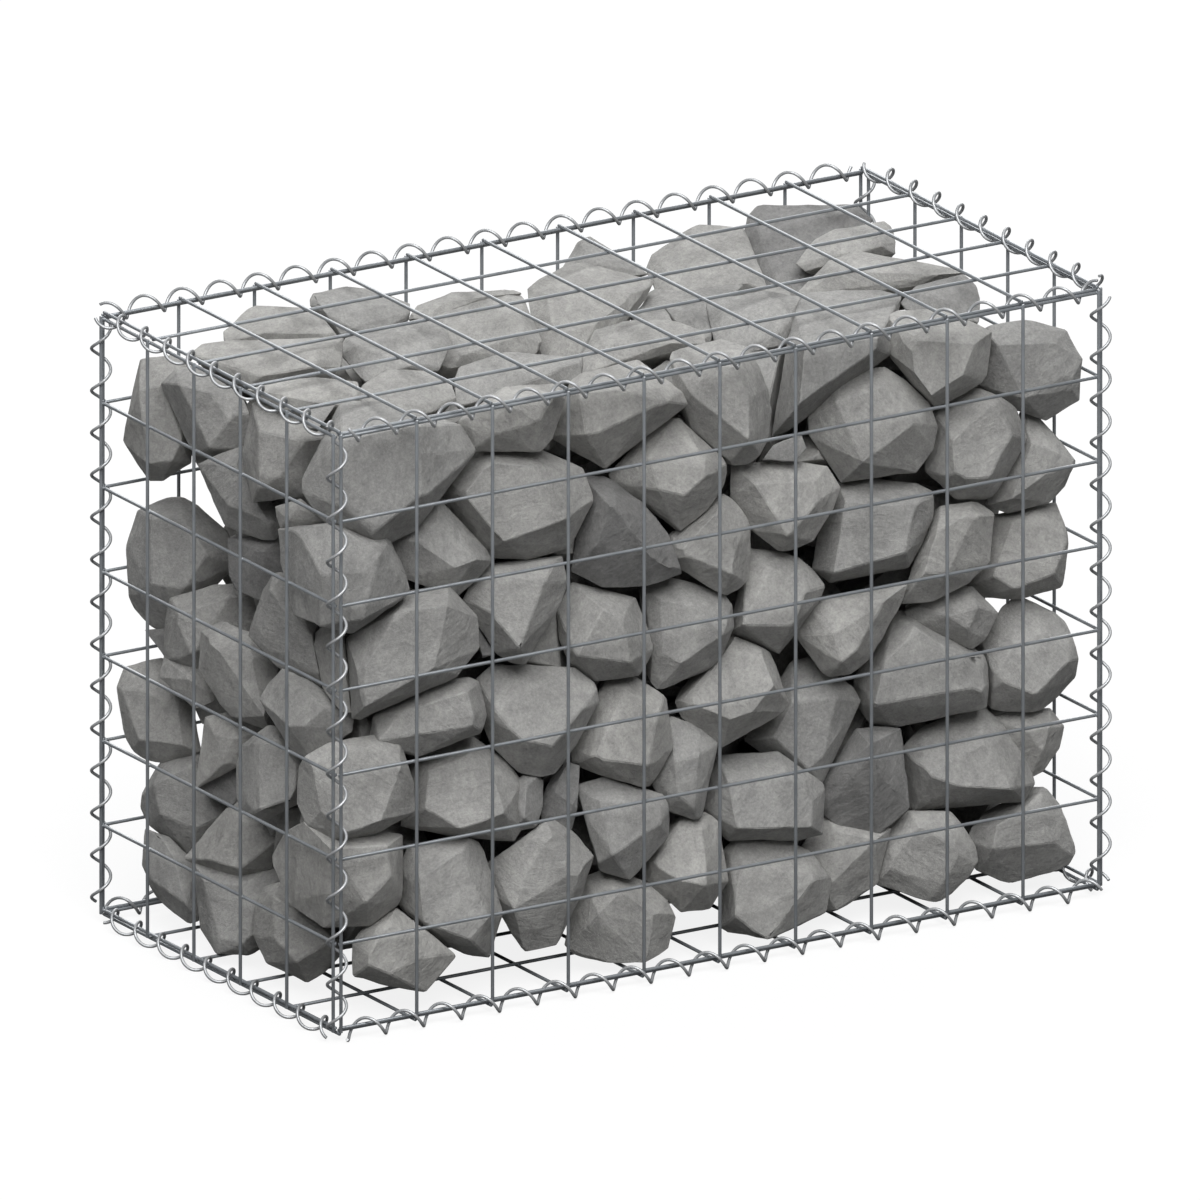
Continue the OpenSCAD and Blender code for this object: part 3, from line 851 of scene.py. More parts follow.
          (44.6, 51.2), (42.2, 54.1), (36.6, 58.3)),
         ((41, 60.5), (42.4, 56.4), (45.8, 55.2), (49.5, 57.6))),
    Rock(((45.5, 67.7), (44, 71.7), (44.4, 72.4), (47.3, 72.7), (50.6, 72.6), (53.7, 71.2), (54.8, 69.7),
          (56.6, 65.9), (56.9, 63.5), (56.5, 60.4), (55.8, 58.4), (53.9, 57.9), (51.3, 58.1), (47.7, 61.7),
          (45.1, 65.2)),
         ((46.6, 66.9), (54.3, 65.4), (54.2, 60.4), (49, 70), (52.3, 69.4))),
    Rock(((57.5, 60.5), (58.5, 65), (59.5, 71), (60.7, 74.1), (61.2, 76.2), (66.4, 75.7), (71.7, 74.9),
          (74, 73.8), (72.4, 71.5), (72.6, 67.2), (70.5, 66.3), (65.4, 65.4), (62.6, 62.2), (59.6, 60.8)),
         ((61, 63.5), (61.6, 70), (71.4, 69.6), (71, 67.6))),
    Rock(((43.4, 48.4), (43.7, 50.2), (44, 51), (50.5, 54.3), (52.9, 52.8), (54.2, 51), (54.2, 46.9),
          (53.8, 43.7), (52.8, 43), (50.5, 42.5), (45.1, 46.4)),
         ((45, 48.5), (49, 48.6), (52.4, 47.1), (50, 52.5), (52, 44.8))),
    # Left end, from the top down
    Rock(((-25.9, 83.7), (-21.8, 83.1), (-20.1, 81.8), (-19.4, 74.9), (-19.5, 70.5), (-23, 69.1),
          (-24.8, 69.4), (-28.2, 74.5)),
         ((-26.3, 80), (-23.1, 80.1), (-20.6, 73), (-21.8, 70.9), (-25.1, 70.8)), side=L),
    Rock(((-23.1, 80.1), (-21.1, 81.3), (-18.7, 81.4), (-15.9, 79.4), (-13, 77.2), (-11.8, 74.4),
          (-12.5, 70.9), (-14.2, 70.6), (-17.3, 70.8), (-19, 71.5), (-20, 74.5)),
         ((-21, 79.8), (-18.7, 75.3), (-14, 74.7), (-17, 71.6), (-16.5, 78)), side=L),
    Rock(((-11.1, 75.6), (-7.3, 74.4), (-4.2, 71.8), (-1.6, 70.1), (-4.4, 65.8), (-4.7, 64.1), (-7.7, 65.6),
          (-11.1, 64.4), (-12.4, 70.1), (-12, 72.2)),
         ((-10.6, 72.6), (-6.4, 71), (-7.6, 66.6), (-10.4, 66), (-4.6, 70.3)), side=L),
    Rock(((-18.1, 69.5), (-12.5, 70.6), (-11.8, 67), (-11.1, 64.4), (-8.5, 63), (-7.6, 60.6), (-8.2, 59.5),
          (-10.1, 59.8), (-12.5, 60.9), (-14.7, 62.2)),
         ((-14.6, 64.4), (-11.8, 64.2), (-9, 61.2), (-13.5, 69)), side=L, deep=1.0, tone=.3),
    Rock(((-26.3, 65.5), (-22, 66.5), (-20.9, 66.3), (-18.7, 64.9), (-15, 61.3), (-14, 59.2), (-13.8, 57.1),
          (-18.5, 54.7), (-22, 54.4), (-22.8, 50.9), (-24.9, 52.3), (-26.6, 54.2), (-27.4, 56),
          (-27.8, 61.6)),
         ((-24.7, 64.6), (-24.6, 56.7), (-20.4, 55.5), (-18.9, 60.9), (-17.3, 59), (-20.5, 64)), side=L),
    Rock(((-7.9, 63), (-4.9, 63.3), (-3, 61.4), (-1.4, 60.2), (-5.6, 59.9), (-7.6, 60.5)),
         ((-5.2, 62.5), (-6.8, 61.5)), side=L, deep=.8, tone=.7),
    Rock(((-8.2, 55.2), (-6.8, 54.6), (-5.6, 50), (-2.8, 48.3), (-1.8, 42.6), (-2.3, 40.2), (-6.8, 43.8),
          (-8, 44.4), (-11.6, 48.5), (-9.7, 53.3)),
         ((-9, 53.4), (-6.2, 49.2), (-2.5, 42.4), (-3.4, 47)), side=L),
    Rock(((-22, 54.5), (-18.7, 54.7), (-16.3, 55.1), (-14, 54.8), (-12.5, 53.8), (-10.1, 52.3),
          (-11.6, 48.8),
          (-14.9, 50.2), (-18.1, 45.7), (-19.3, 46.4), (-22.6, 47.6), (-22.7, 52.1)),
         ((-21.8, 52.5), (-19.3, 47.6), (-16, 52), (-14.3, 53.6), (-17.8, 50)), side=L),
    Rock(((-17.8, 49.7), (-15.1, 50.4), (-12.8, 48.8), (-11.6, 48.5), (-8.1, 44.2), (-9.9, 40.7),
          (-9.2, 37.1), (-10.9, 38.3), (-14, 39.5), (-15.4, 41.1), (-18.1, 45.4)),
         ((-16.8, 48.8), (-12.8, 44.7), (-9.8, 38.6), (-11.5, 46)), side=L),
    Rock(((-29.9, 45.7), (-28, 47.3), (-22.8, 47.6), (-20.4, 44.5), (-19.3, 41.6), (-18.9, 38),
          (-18.2, 35.9),
          (-23, 35.6), (-25.2, 36.3), (-27.3, 37.6), (-28.3, 41)),
         ((-28.6, 45), (-25.6, 44.3), (-21.1, 41.4), (-20.6, 37), (-26.2, 38.6)), side=L),
    Rock(((-22.6, 47.5), (-19.3, 46.4), (-18.1, 45.2), (-16.3, 41.9), (-19, 41.4), (-20.4, 43.2),
          (-23.2, 45.4)),
         ((-19.6, 44.6),), side=L, deep=1.2),
    Rock(((-17.3, 39.5), (-14.2, 39.6), (-12.5, 37.8), (-10.1, 36.9), (-12.3, 35.5), (-12.8, 33.6),
          (-15.1, 33.1), (-18.5, 31.8), (-17.8, 35.2)),
         ((-16.3, 37.5), (-13.5, 36.6), (-15, 33.9)), side=L, deep=1.2),
    Rock(((-23.2, 35.5), (-18, 35.6), (-18.6, 31.8), (-13.7, 29), (-15.6, 26.2), (-19.7, 24), (-24.7, 28.3),
          (-25.3, 29.3), (-26.1, 31.4), (-24.8, 33.1)),
         ((-24.4, 33), (-23.5, 29.2), (-18.7, 26.8), (-17.8, 30.7), (-15.6, 27.6), (-19.2, 34.6)), side=L),
    Rock(((-12.5, 35.5), (-9.2, 37.1), (-7.8, 36.7), (-6.8, 35.2), (-4.1, 32.6), (-4.9, 31.7), (-5.1, 27.7),
          (-9.9, 26.6), (-12, 27.4), (-13, 29.5), (-13.2, 33.3)),
         ((-10.4, 35.4), (-10.3, 27.6), (-5.7, 28.2), (-5.6, 32), (-8, 35.5)), side=L),
    Rock(((-7.1, 43.5), (-4.1, 41.8), (-1.6, 39.8), (-0.2, 38.8), (1.9, 37.4), (2.0, 36.7), (1.7, 34.8),
          (-0.6, 34.0), (-3.5, 32.8), (-5.9, 34.0), (-7.1, 36.0), (-8.6, 38.5), (-9.9, 40.5), (-8.8, 42.1)),
         ((-6.6, 36.9), (-4.5, 36.5), (-1.6, 38.2), (-6.5, 42.0)), side=L),
    Rock(((-14.4, 28.6), (-13.2, 29.2), (-12.3, 27.3), (-10.1, 26.2), (-6.6, 24.2), (-8.7, 21.2),
          (-9, 20.6), (-13.2, 19.9), (-17.5, 22.4), (-20.1, 23.6), (-18.2, 25.2), (-16.1, 26)),
         ((-13.4, 27.4), (-8, 23.6), (-13, 21), (-16.9, 22.8)), side=L),
    Rock(((-18.9, 22.9), (-17.5, 22.3), (-13.2, 19.8), (-9, 20.4), (-7.5, 19.3), (-9.6, 18.3), (-10.8, 16.4),
          (-11.1, 12.9), (-10, 11.4), (-12, 11), (-15.9, 11.9), (-17.8, 15)),
         ((-17.9, 20.6), (-13, 19.2), (-11.4, 15.8), (-11.8, 12), (-15.6, 13.2)), side=L),
    Rock(((-25.3, 27.6), (-22.3, 26.2), (-20.4, 23.6), (-18.9, 22.6), (-18.4, 16.4), (-19.9, 16.2),
          (-23.5, 19.3), (-24.7, 21.2), (-25.7, 23.6), (-25.5, 25.7)),
         ((-24.6, 21.8), (-21, 21.4), (-22, 25.2), (-20, 18)), side=L, tone=.3),
    # Top, from the front row to the back one
    Rock(((-11.5, 77.6), (-7.6, 77.8), (-2.9, 77.5), (2.1, 76.1), (2.6, 74.4), (.8, 73.7), (-4.8, 73.8),
          (-7.2, 74.6)),
         ((-8, 76.4), (0, 75.6), (-3, 74.6)), side=T, tone=.75),
    Rock(((4.3, 76), (6.7, 76.8), (11.9, 75.6), (14.5, 74), (15.2, 71.9), (12, 71), (8, 71), (4.5, 73.2),
          (2.6, 74.2)),
         ((6.5, 75.2), (12, 74), (9, 72)), side=T),
    Rock(((15.7, 74.2), (16.4, 75.5), (22.3, 76.2), (27.3, 74.6), (31.9, 73.9), (32.3, 71.8), (29, 71.2),
          (22, 72), (16, 71)),
         ((19, 74.6), (26, 73.6), (30.4, 73)), side=T),
    Rock(((32.8, 74.5), (34.4, 76.7), (37.8, 77.1), (42.5, 76.9), (44.9, 75.6), (47.8, 74.3), (48, 72.8),
          (44.2, 72.6), (39.4, 72.2), (32.8, 72)),
         ((35, 75), (41.5, 75.6), (44, 73.6)), side=T, tone=.6),
    Rock(((49.9, 73), (48.8, 77.5), (56, 77.5), (60.9, 76), (60.5, 73), (59.2, 71), (54.2, 70.8),
          (51, 72.7)),
         ((51, 76), (57, 75.6), (59, 73)), side=T, tone=.35),
    Rock(((43.3, 77.9), (48.6, 77.8), (49.7, 73), (48.3, 73.2), (45, 75.7)),
         ((46, 76.9), (48.6, 75)), side=T, deep=.8, tone=.3),
    Rock(((74.5, 73.3), (76.4, 74.6), (82.6, 75), (83.8, 73.9), (84.4, 71.8), (84.3, 69.2), (82.4, 70.1),
          (79, 71.6), (75.7, 71.9)),
         ((77, 74), (82.2, 74), (82.6, 71)), side=T, tone=.2),
    Rock(((-19, 83.1), (-17.4, 84), (-13.1, 83.7), (-10.2, 82.9), (-1.9, 81.4), (.4, 81.7), (0, 78.3),
          (-2.4, 77.7), (-7.5, 78), (-11.5, 77.9)),
         ((-15, 82.6), (-3, 80.6), (-2.6, 78.9), (-10.5, 79)), side=T, tone=.7),
    Rock(((1.4, 81.4), (5, 81.3), (9.5, 81.6), (12.1, 82.1), (14, 80), (14.4, 78.3), (13.2, 77.9),
          (13, 75.8),
          (11.9, 75.8), (6.7, 76.9), (4, 76.1), (1.9, 77.7), (.6, 79.5)),
         ((2.5, 80.5), (9.8, 80.6), (9.6, 76.8), (12.6, 78.5)), side=T, tone=.4),
    Rock(((12.3, 82.2), (15.3, 83.9), (22.5, 83.4), (24, 82.5), (26.1, 78.1), (26.8, 76.3), (25.4, 75.5),
          (22.3, 76.3), (16.4, 75.6), (13.2, 75.8), (13.3, 77.9), (14.6, 78.4), (14.1, 80.2)),
         ((14, 81.5), (22, 81.9), (24.6, 78), (16, 77)), side=T, tone=.6),
    Rock(((25.4, 83.1), (27, 83.9), (29.9, 84.8), (32.3, 84.9), (34.9, 83.2), (37.5, 82.5), (41.4, 81.3),
          (40, 79.4), (37.9, 78.1), (37.6, 77.2), (34.4, 76.8), (32.5, 74.6), (27.3, 74.8), (26.8, 76.4),
          (25.8, 80)),
         ((27.5, 82.2), (32.5, 82.2), (36, 81), (39.4, 80), (35.5, 77.8), (28.5, 77)), side=T),
    Rock(((43.3, 78.2), (42.8, 81), (41, 82.9), (41.8, 84.5), (45.4, 85.7), (47.5, 86.9), (50.9, 86.1),
          (53.2, 85.5), (53.8, 84.3), (54.9, 81.2), (56.4, 77.7), (48.5, 77.9)),
         ((42.9, 83.4), (46, 82.2), (52, 82.2), (54, 79), (44.6, 79.4)), side=T, tone=.6),
    Rock(((61.3, 76.3), (60.8, 76.5), (63.1, 78.2), (65, 79.6), (68.3, 80.2), (73.3, 78.7), (75.7, 77),
          (80.2, 76.3), (82.4, 75.3), (76.4, 74.8), (71.7, 75.1), (66.4, 75.9)),
         ((66, 78.3), (73, 77), (79.5, 75.6)), side=T, tone=.65),
    Rock(((-14.6, 85.1), (-11.7, 87.1), (-10.7, 87.3), (-4.4, 86), (-3.3, 84.9), (.1, 82.3), (-1.9, 81.5),
          (-10.2, 83), (-13.1, 83.8), (-14.6, 83.9)),
         ((-10.3, 86), (-4.4, 84.8), (-9.6, 84), (-2, 82.6)), side=T, tone=.65),
    Rock(((-3.3, 86.8), (-2.9, 87.4), (1.2, 87.6), (4.3, 86.7), (6.7, 84.8), (9, 84.3), (9, 82.6), (5, 81.5),
          (.6, 82.1), (-2.1, 84.8), (-3.3, 86.1)),
         ((-2.4, 86.2), (-1.8, 85.1), (4.7, 84.9), (1.9, 82.6), (8, 83.2)), side=T, tone=.35),
    Rock(((9.2, 82.6), (10.5, 83.6), (15, 84.5), (22.5, 83.5), (23.7, 82.9), (15.3, 82.8), (12, 82)),
         ((14, 83.6), (20, 83.3)), side=T, tone=.6),
    Rock(((30.9, 86.2), (32.3, 88), (33.5, 87.9), (36.3, 85.7), (40.9, 82.5), (37.6, 82.7), (34.7, 83.4),
          (32.3, 85.1), (30, 85)),
         ((32.4, 87), (34.4, 84.6), (37.5, 83.7)), side=T, tone=.45),
    Rock(((53.9, 85), (54.4, 86.7), (55.5, 87.7), (58.6, 87.2), (64.5, 86), (68.3, 85.6), (70.2, 83.7),
          (66, 83.4), (62.9, 82.7), (60.7, 80.4), (62, 78.7), (62, 76.7), (57.1, 77.3), (56.2, 78.7),
          (55, 82)),
         ((55.4, 85.2), (60, 85.3), (67, 85), (61, 83), (57.5, 79.5)), side=T, tone=.1),
    Rock(((60.9, 80.3), (63.1, 82.5), (65.7, 83.2), (71.7, 83.1), (72.6, 82.4), (73.1, 80.6), (73.2, 79.1),
          (68.3, 80.3), (64.5, 79.6), (62.3, 79)),
         ((64.3, 81.8), (71.2, 82.2), (71.8, 80.3), (63.5, 80.2)), side=T, tone=.6),
    # Stones further in that show dark between the others; their low tones are painted shade
    Rock(((17.6, 44.2), (19, 45.4), (21, 41), (19, 40.5)), (), deep=4.0, tone=.1),
    Rock(((22.5, 24), (24.6, 25.6), (27, 25.2), (26.9, 22), (26.2, 19.6), (23, 19.6)), ((25, 24.2),
          (24.6, 20.6)),
         deep=2.2, tone=.22),
    Rock(((26.9, 22), (28, 24.6), (30, 26), (33, 24.6), (32.4, 20), (30, 18), (27.2, 19.4)),
         ((28.6, 23), (31, 21)), deep=3.0, tone=.12),
    Rock(((59.8, 32.9), (62.1, 33.0), (64.9, 30.3), (67.6, 28.6), (68.6, 26.8), (66.3, 22.2),
          (63.7, 18.1), (61.6, 18.7), (59.3, 21.5), (57.5, 22.7), (54.0, 24.9), (57.0, 26.7),
          (59.3, 28.0), (58.4, 30.8)),
         ((60.0, 28.2), (65.8, 27.7), (64.2, 21.3), (62.1, 20.0), (57.5, 24.5)), deep=1.5, tone=.35),
    Rock(((55.7, 57.7), (57.0, 59.1), (60.9, 59.6), (61.5, 58.0), (60.2, 56.9)), (), deep=2.0, tone=.25),
    Rock(((-14.4, 60.4), (-7.8, 59.5), (-7, 55.4), (-9.9, 52.3), (-13.5, 54.5), (-14.2, 55.7)),
         ((-10, 58),), side=L, deep=5.0, tone=.05),
    Rock(((-25.2, 51.2), (-22.8, 51), (-21.5, 47), (-22.8, 47.8)), (), side=L, deep=3.0, tone=.1),
    Rock(((-18.5, 31.8), (-13.5, 33.6), (-13.2, 29.3), (-14.2, 28.8)), (), side=L, deep=4.0, tone=.05),
    Rock(((-1, 71.5), (1, 73.8), (-4.8, 73.8), (-3.8, 71.8)), (), side=T, deep=.4, tone=.3),
)

# Readings at which the white ground shows through the fill
CLEAR_SPOTS: tuple[Spot, ...] = (
    (-25.5, 67.3), (-23.5, 67.8), (-21.5, 68.2), (-19.8, 68.2), (-18.2, 68.2), (-17.2, 66.4), (-16.2, 64.3),
    (-15.3, 62.7), (-24.4, 51.2), (87, 34.8),
)
# Least and greatest reading across at which a stone shows
SIGHT_ENDS: Spot = (-28.4, 97.4)
# Highest reading up at which a stone shows, across from the left
SKYLINE: tuple[Spot, ...] = (
    (-28.4, 76), (-25.9, 83.5), (-20, 81.5), (-14.6, 83.8), (-10.7, 86.5), (0, 85.5), (9, 83), (24, 82.5),
    (33, 84.5), (41, 82), (53, 85), (66, 84), (70.7, 83), (73.3, 78.5), (76, 76.5), (84, 73), (85, 68.5),
    (92, 67.5), (97.4, 62),
)

# Lowest reading up at which a stone shows
FOOTLINE: tuple[Spot, ...] = (
    (-28.4, 24), (-25.7, 22.5), (-19.9, 16), (-15.9, 11.9), (-10, 10.5), (-4.2, 6.4), (-.1, 8.5), (2.4, 5.9),
    (6.8, 4), (13, 4.2), (19.8, 5), (28.7, 4.5), (35.3, 1.9), (43.4, 2.1), (48.9, 4.5), (51.7, 2.6),
    (56.6, 1),
    (66.4, 2.2), (71.2, 5), (79, 1.5), (84.6, 4), (88.8, 2.2), (97.4, 3),
)


@dataclass
class Block:
    """A stone as a closed mesh, with the planes of its faces.

    A whole stone is partly hidden by others that show, and keeps its shape behind them.
    """

    bm: bmesh.types.BMesh
    tone: float
    shown: bool = False
    whole: bool = False
    points: list[Vector] = field(init=False)
    planes: list[Vector] = field(init=False)
    centre: Vector = field(init=False)

    def __post_init__(self) -> None:
        """Read the corners."""
        self.reshape(self.bm)

    def reshape(self, bm: bmesh.types.BMesh) -> None:
        """Take a mesh, with its corners, their mean and the outward directions of its faces."""
        self.bm = bm
        self.points = [v.co.copy() for v in bm.verts]
        self.planes = [f.normal.copy() for f in bm.faces]
        self.centre = sum(self.points, Vector()) / len(self.points)

    def thickness(self) -> float:
        """Least distance between a face's plane and the corner furthest behind it."""
        spans = [[p.dot(way) for p in self.points] for way in self.planes]
        return min(max(span) - min(span) for span in spans)


def left_out(rim: Sequence[Spot]) -> float:
    """Share of its hull's area that an outline leaves out.

    Args:
        rim: the outline.

    Returns:
        The share, from 0 for an outline that bulges everywhere.
    """
    def area(ring: Sequence[Spot]) -> float:
        """Area inside a ring."""
        return abs(sum(x1 * y2 - x2 * y1 for (x1, y1), (x2, y2) in zip(ring, (*ring[1:], ring[0])))) / 2

    return 1 - area(rim) / area([rim[k] for k in geometry.convex_hull_2d(rim)])


def hull(points: Iterable[Vector], merge: float = 0.003) -> bmesh.types.BMesh | None:
    """Closed hull of some points, with nearly flat neighbours as one face.

    Args:
        points: corners to wrap.
        merge: distance under which two corners become one.

    Returns:
        The hull, or None where the points hold no room.
    """
    bm = bmesh.new()
    for point in points:
        bm.verts.new(point)
    bmesh.ops.remove_doubles(bm, verts=bm.verts, dist=merge)
    if len(bm.verts) < 5:
        bm.free()
        return None
    made = bmesh.ops.convex_hull(bm, input=bm.verts)
    spare = (*made["geom_interior"], *made["geom_unused"])
    loose = {g for g in spare if isinstance(g, bmesh.types.BMVert)}
    bmesh.ops.delete(bm, geom=list(loose), context="VERTS")
    if len(bm.faces) < 4:
        bm.free()
        return None
    bmesh.ops.dissolve_limit(bm, angle_limit=radians(5), verts=bm.verts, edges=bm.edges)
    bmesh.ops.recalc_face_normals(bm, faces=bm.faces)
    bm.normal_update()
    return bm


def cut(block: Block, spot: Vector, way: Vector) -> bool:
    """Cut away what lies beyond a plane and close the stone again.

    Args:
        block: stone to cut.
        spot: point of the plane.
        way: direction that is cut away.

    Returns:
        Whether enough is left of the stone.
    """
    if all((p - spot).dot(way) <= 1e-6 for p in block.points):
        return True
    bm = block.bm
    bmesh.ops.bisect_plane(
        bm, geom=bm.verts[:] + bm.edges[:] + bm.faces[:], plane_co=spot, plane_no=way, clear_outer=True,
    )
    left = hull([v.co.copy() for v in bm.verts])
    bm.free()
    if left is None:
        return False
    block.reshape(left)
    return True


# Greatest depth that a stone that shows is cut by another one; deeper ones pass behind each other
SHOWN_CUT = 0.016
# Share of its hull that an outline leaves out where other stones hide part of the stone
HIDDEN_SHARE = 0.06
# Slope of the plane of an outline, in centimetres of depth per centimetre across and up
RIM_SLOPES = {Side.FRONT: (-0.24, 0.15), Side.LEFT: (-0.75, 0.17), Side.TOP: (-0.26, 1.0)}


def part_from(fixed: Block, block: Block, gap: float, back: Vector) -> bool:
    """Cut a stone so that it stays clear of one that is already placed.

    Args:
        fixed: stone that keeps its shape.
        block: stone that is cut where the two overlap.
        gap: clearance between them.
        back: direction from the scene to the camera.

    Returns:
        Whether enough is left of the stone.
    """
    mine, theirs = block.points, fixed.points
    apart = block.centre - fixed.centre
    ways = fixed.planes + [-n for n in block.planes] + [apart.normalized()]
    if fixed.shown and block.shown:
        level = (apart - back * apart.dot(back)).normalized()
        ways += [Matrix.Rotation(radians(15 * k), 3, back) @ level for k in range(-4, 5)]
    best, least = None, 1e9
    for way in ways:
        edge = max(p.dot(way) for p in theirs) + gap
        deep = edge - min(p.dot(way) for p in mine)
        if deep <= 0:
            return True
        if deep < least:
            best, least = (way * edge, way), deep
    if fixed.shown and block.shown and (fixed.whole or block.whole or least > SHOWN_CUT):
        return True
    spot, way = best
    return cut(block, spot, -way)


# Grid of a pass over the core, least volume of its stones and how far they stay inside the sides
CorePass = tuple[tuple[int, int, int], float, float]
CORE_PASSES: tuple[CorePass, ...] = (
    ((8, 4, 6), 1.8e-4, 0.0), ((11, 5, 8), 1.2e-4, 0.0), ((12, 6, 9), 5e-5, 0.04),
)


@dataclass
class StoneFill:
    """The quarry stones: the ones that show, their turned repeats on the unseen sides, and the core."""

    basket: Basket
    sight: Sight
    courses: int = 6
    seed: int = 41
    gap: float = 0.0002
    inset_cm: float = 0.7
    base_cm: float = 0.0
    lid_cm: float = 0.7
    bevel: float = 0.0016
    face_length: float = 0.014
    buried: float = 0.1
    grow_cm: float = 0.45
    set_back: tuple[float, float, float] = (0.045, 0.068, 0.045)
    crease: float = radians(8)
    thinnest: float = 0.042
    top_rise: Spot = (0.22, 0.36)
    side_rise: Spot = (0.38, 0.56)
    stray_cm: float = 0.5
    whole_share: float = 0.3
    back_share: float = 0.72
    usual_tone: Spot = (0.3, 0.75)
    sky_gap_cm: float = 0.6
    least_rise_cm: float = 2.0
    spot_gap: float = 0.005
    spot_ways: int = 12
    near: float = 0.3
    least_shown: float = 2e-6
    least_turned: float = 2e-4
    core_share: float = 0.62
    core_shift: float = 0.22
    core_passes: tuple[CorePass, ...] = CORE_PASSES
    chips: tuple[int, int] = (3, 6)
    chip_lean: float = 0.35
    chip_depth: Spot = (0.0015, 0.0050)
    buried_coarse: float = 2.5
    dent: float = 0.0006
    relief: float = 0.0010
    blocks: list[Block] = field(default_factory=list)

    def __post_init__(self) -> None:
        """Start the random draws."""
        self.rng = random.Random(self.seed)

    def behind(self, side: Side, across: float, up: float) -> float:
        """Depth at which a reading lies just behind one side of the basket.

        Args:
            side: the side.
            across: centimetres from the front panel's left edge.
            up: centimetres above its lower edge.

        Returns:
            Depth in centimetres.
        """
        if side is Side.FRONT:
            return self.inset_cm
        if side is Side.LEFT:
            return (self.inset_cm - across) / self.sight.drift
        return (up - self.basket.half.z * 2 / CM + self.lid_cm) / self.sight.sink

    def nearest(self, across: float, up: float) -> float:
        """Least depth at which a reading lies inside the basket."""
        return max(self.behind(side, across, up) for side in Side)

    def furthest(self, across: float, up: float) -> float:
        """Greatest depth at which a reading lies inside the basket."""
        long, deep = 2 * self.basket.half.x / CM, 2 * self.basket.half.y / CM
        right = (long - self.inset_cm - across) / self.sight.drift
        return min(deep - self.inset_cm, right, (up - self.base_cm) / self.sight.sink)

    def shaped(self, rock: Rock) -> Block | None:
        """Give a stone its depth.

        Args:
            rock: the stone's readings.

        Returns:
            The stone, or None where it holds no room.
        """
        across_slope, up_slope = RIM_SLOPES[rock.side]
        a0 = sum(a for a, _ in rock.rim) / len(rock.rim)
        b0 = sum(b for _, b in rock.rim) / len(rock.rim)
        radius = sum(sqrt((a - a0) ** 2 + (b - b0) ** 2) for a, b in rock.rim) / len(rock.rim)

        def lie(a: float, b: float) -> float:
            """Depth of the rim's plane against its middle."""
            return across_slope * (a - a0) + up_slope * (b - b0)

        whole = rock.side is not Side.TOP and left_out(rock.rim) > HIDDEN_SHARE
        rise = radius * self.rng.uniform(*(self.top_rise if rock.side is Side.TOP else self.side_rise))
        tip = (rock.tip[0] + self.rng.uniform(-0.12, 0.12), rock.tip[1] + self.rng.uniform(-0.1, 0.16))
        grow = 1 + self.grow_cm / radius
        rim = [(a0 + (a - a0) * grow, b0 + (b - b0) * grow) for a, b in rock.rim]
        outline = [(a, b, lie(a, b)) for a, b in rim]
        outline += [(a, b, lie(a, b) - rise + tip[0] * (a - a0) + tip[1] * (b - b0)) for a, b in rock.crest]
        front = max(self.behind(rock.side, a, b) - d for a, b, d in outline)
        shift = front + rock.deep + self.rng.uniform(0, self.stray_cm)
        shift += radius * self.whole_share if whole else 0
        back = radius * self.rng.uniform(0.95, 1.25)
        drop = radius * 0.5 if rock.side is Side.TOP else 0.0
        shrink = self.back_share
        hidden = [
            (
                a0 + (a - a0) * shrink, b0 + (b - b0) * shrink - drop,
                lie(a, b) + back * self.rng.uniform(0.75, 1.1),
            )
            for a, b in rock.rim
        ]
        points = []
        for a, b, d in outline + hidden:
            depth = max(self.nearest(a, b), min(shift + d, self.furthest(a, b)))
            points.append(self.sight.spot(a, b, depth))
        made = hull(points)
        if made is None:
            return None
        tone = rock.tone if rock.tone is not None else self.rng.uniform(*self.usual_tone)
        return Block(made, tone, True, whole)

    def rough(self, middle: Vector, size: Vector) -> Block | None:
        """Make a rule-based angular block.

        Args:
            middle: its middle.
            size: its half lengths.

        Returns:
            The stone.
        """
        turn = Matrix.Rotation(self.rng.uniform(-0.7, 0.7), 3, "Z") @ Matrix.Rotation(
            self.rng.uniform(-0.6, 0.6), 3, "X") @ Matrix.Rotation(self.rng.uniform(-0.6, 0.6), 3, "Y")
        points = []
        for x in (-1, 1):
            for y in (-1, 1):
                for z in (-1, 1):
                    spread = [self.rng.uniform(0.62, 1.12) for _ in range(3)]
                    points.append(middle + turn @ Vector((
                        x * size.x * spread[0], y * size.y * spread[1], z * size.z * spread[2])))
        for _ in range(4):
            way = Vector([self.rng.uniform(-1, 1) for _ in range(3)]).normalized()
            points.append(middle + Vector((way.x * size.x, way.y * size.y, way.z * size.z)) * 1.15)
        for axis, inset in enumerate((self.inset_cm, self.inset_cm, self.lid_cm)):
            reach = self.basket.half[axis] - inset * CM
            along = [p[axis] - self.basket.middle[axis] for p in points]
            slide = min(0.0, reach - max(along)) + max(0.0, -reach - min(along))
            for point in points:
                point[axis] += slide
        made = hull(points)
        return Block(made, self.rng.uniform(*self.usual_tone)) if made else None

    def boxed(self, block: Block, margin: float) -> bool:
        """Cut a stone at the inside of the basket.

        Args:
            block: stone to cut.
            margin: distance by which it stays further in.

        Returns:
            Whether enough is left of it.
        """
        half, middle = self.basket.half, self.basket.middle
        inset, lid, base = (cm * CM + margin for cm in (self.inset_cm, self.lid_cm, self.base_cm))
        limits = (
            (Vector((1, 0, 0)), half.x - inset), (Vector((-1, 0, 0)), half.x - inset),
            (Vector((0, 1, 0)), half.y - inset), (Vector((0, -1, 0)), half.y - inset),
            (Vector((0, 0, 1)), half.z - lid), (Vector((0, 0, -1)), half.z - base),
        )
        return all(cut(block, middle + way * reach, way) for way, reach in limits)

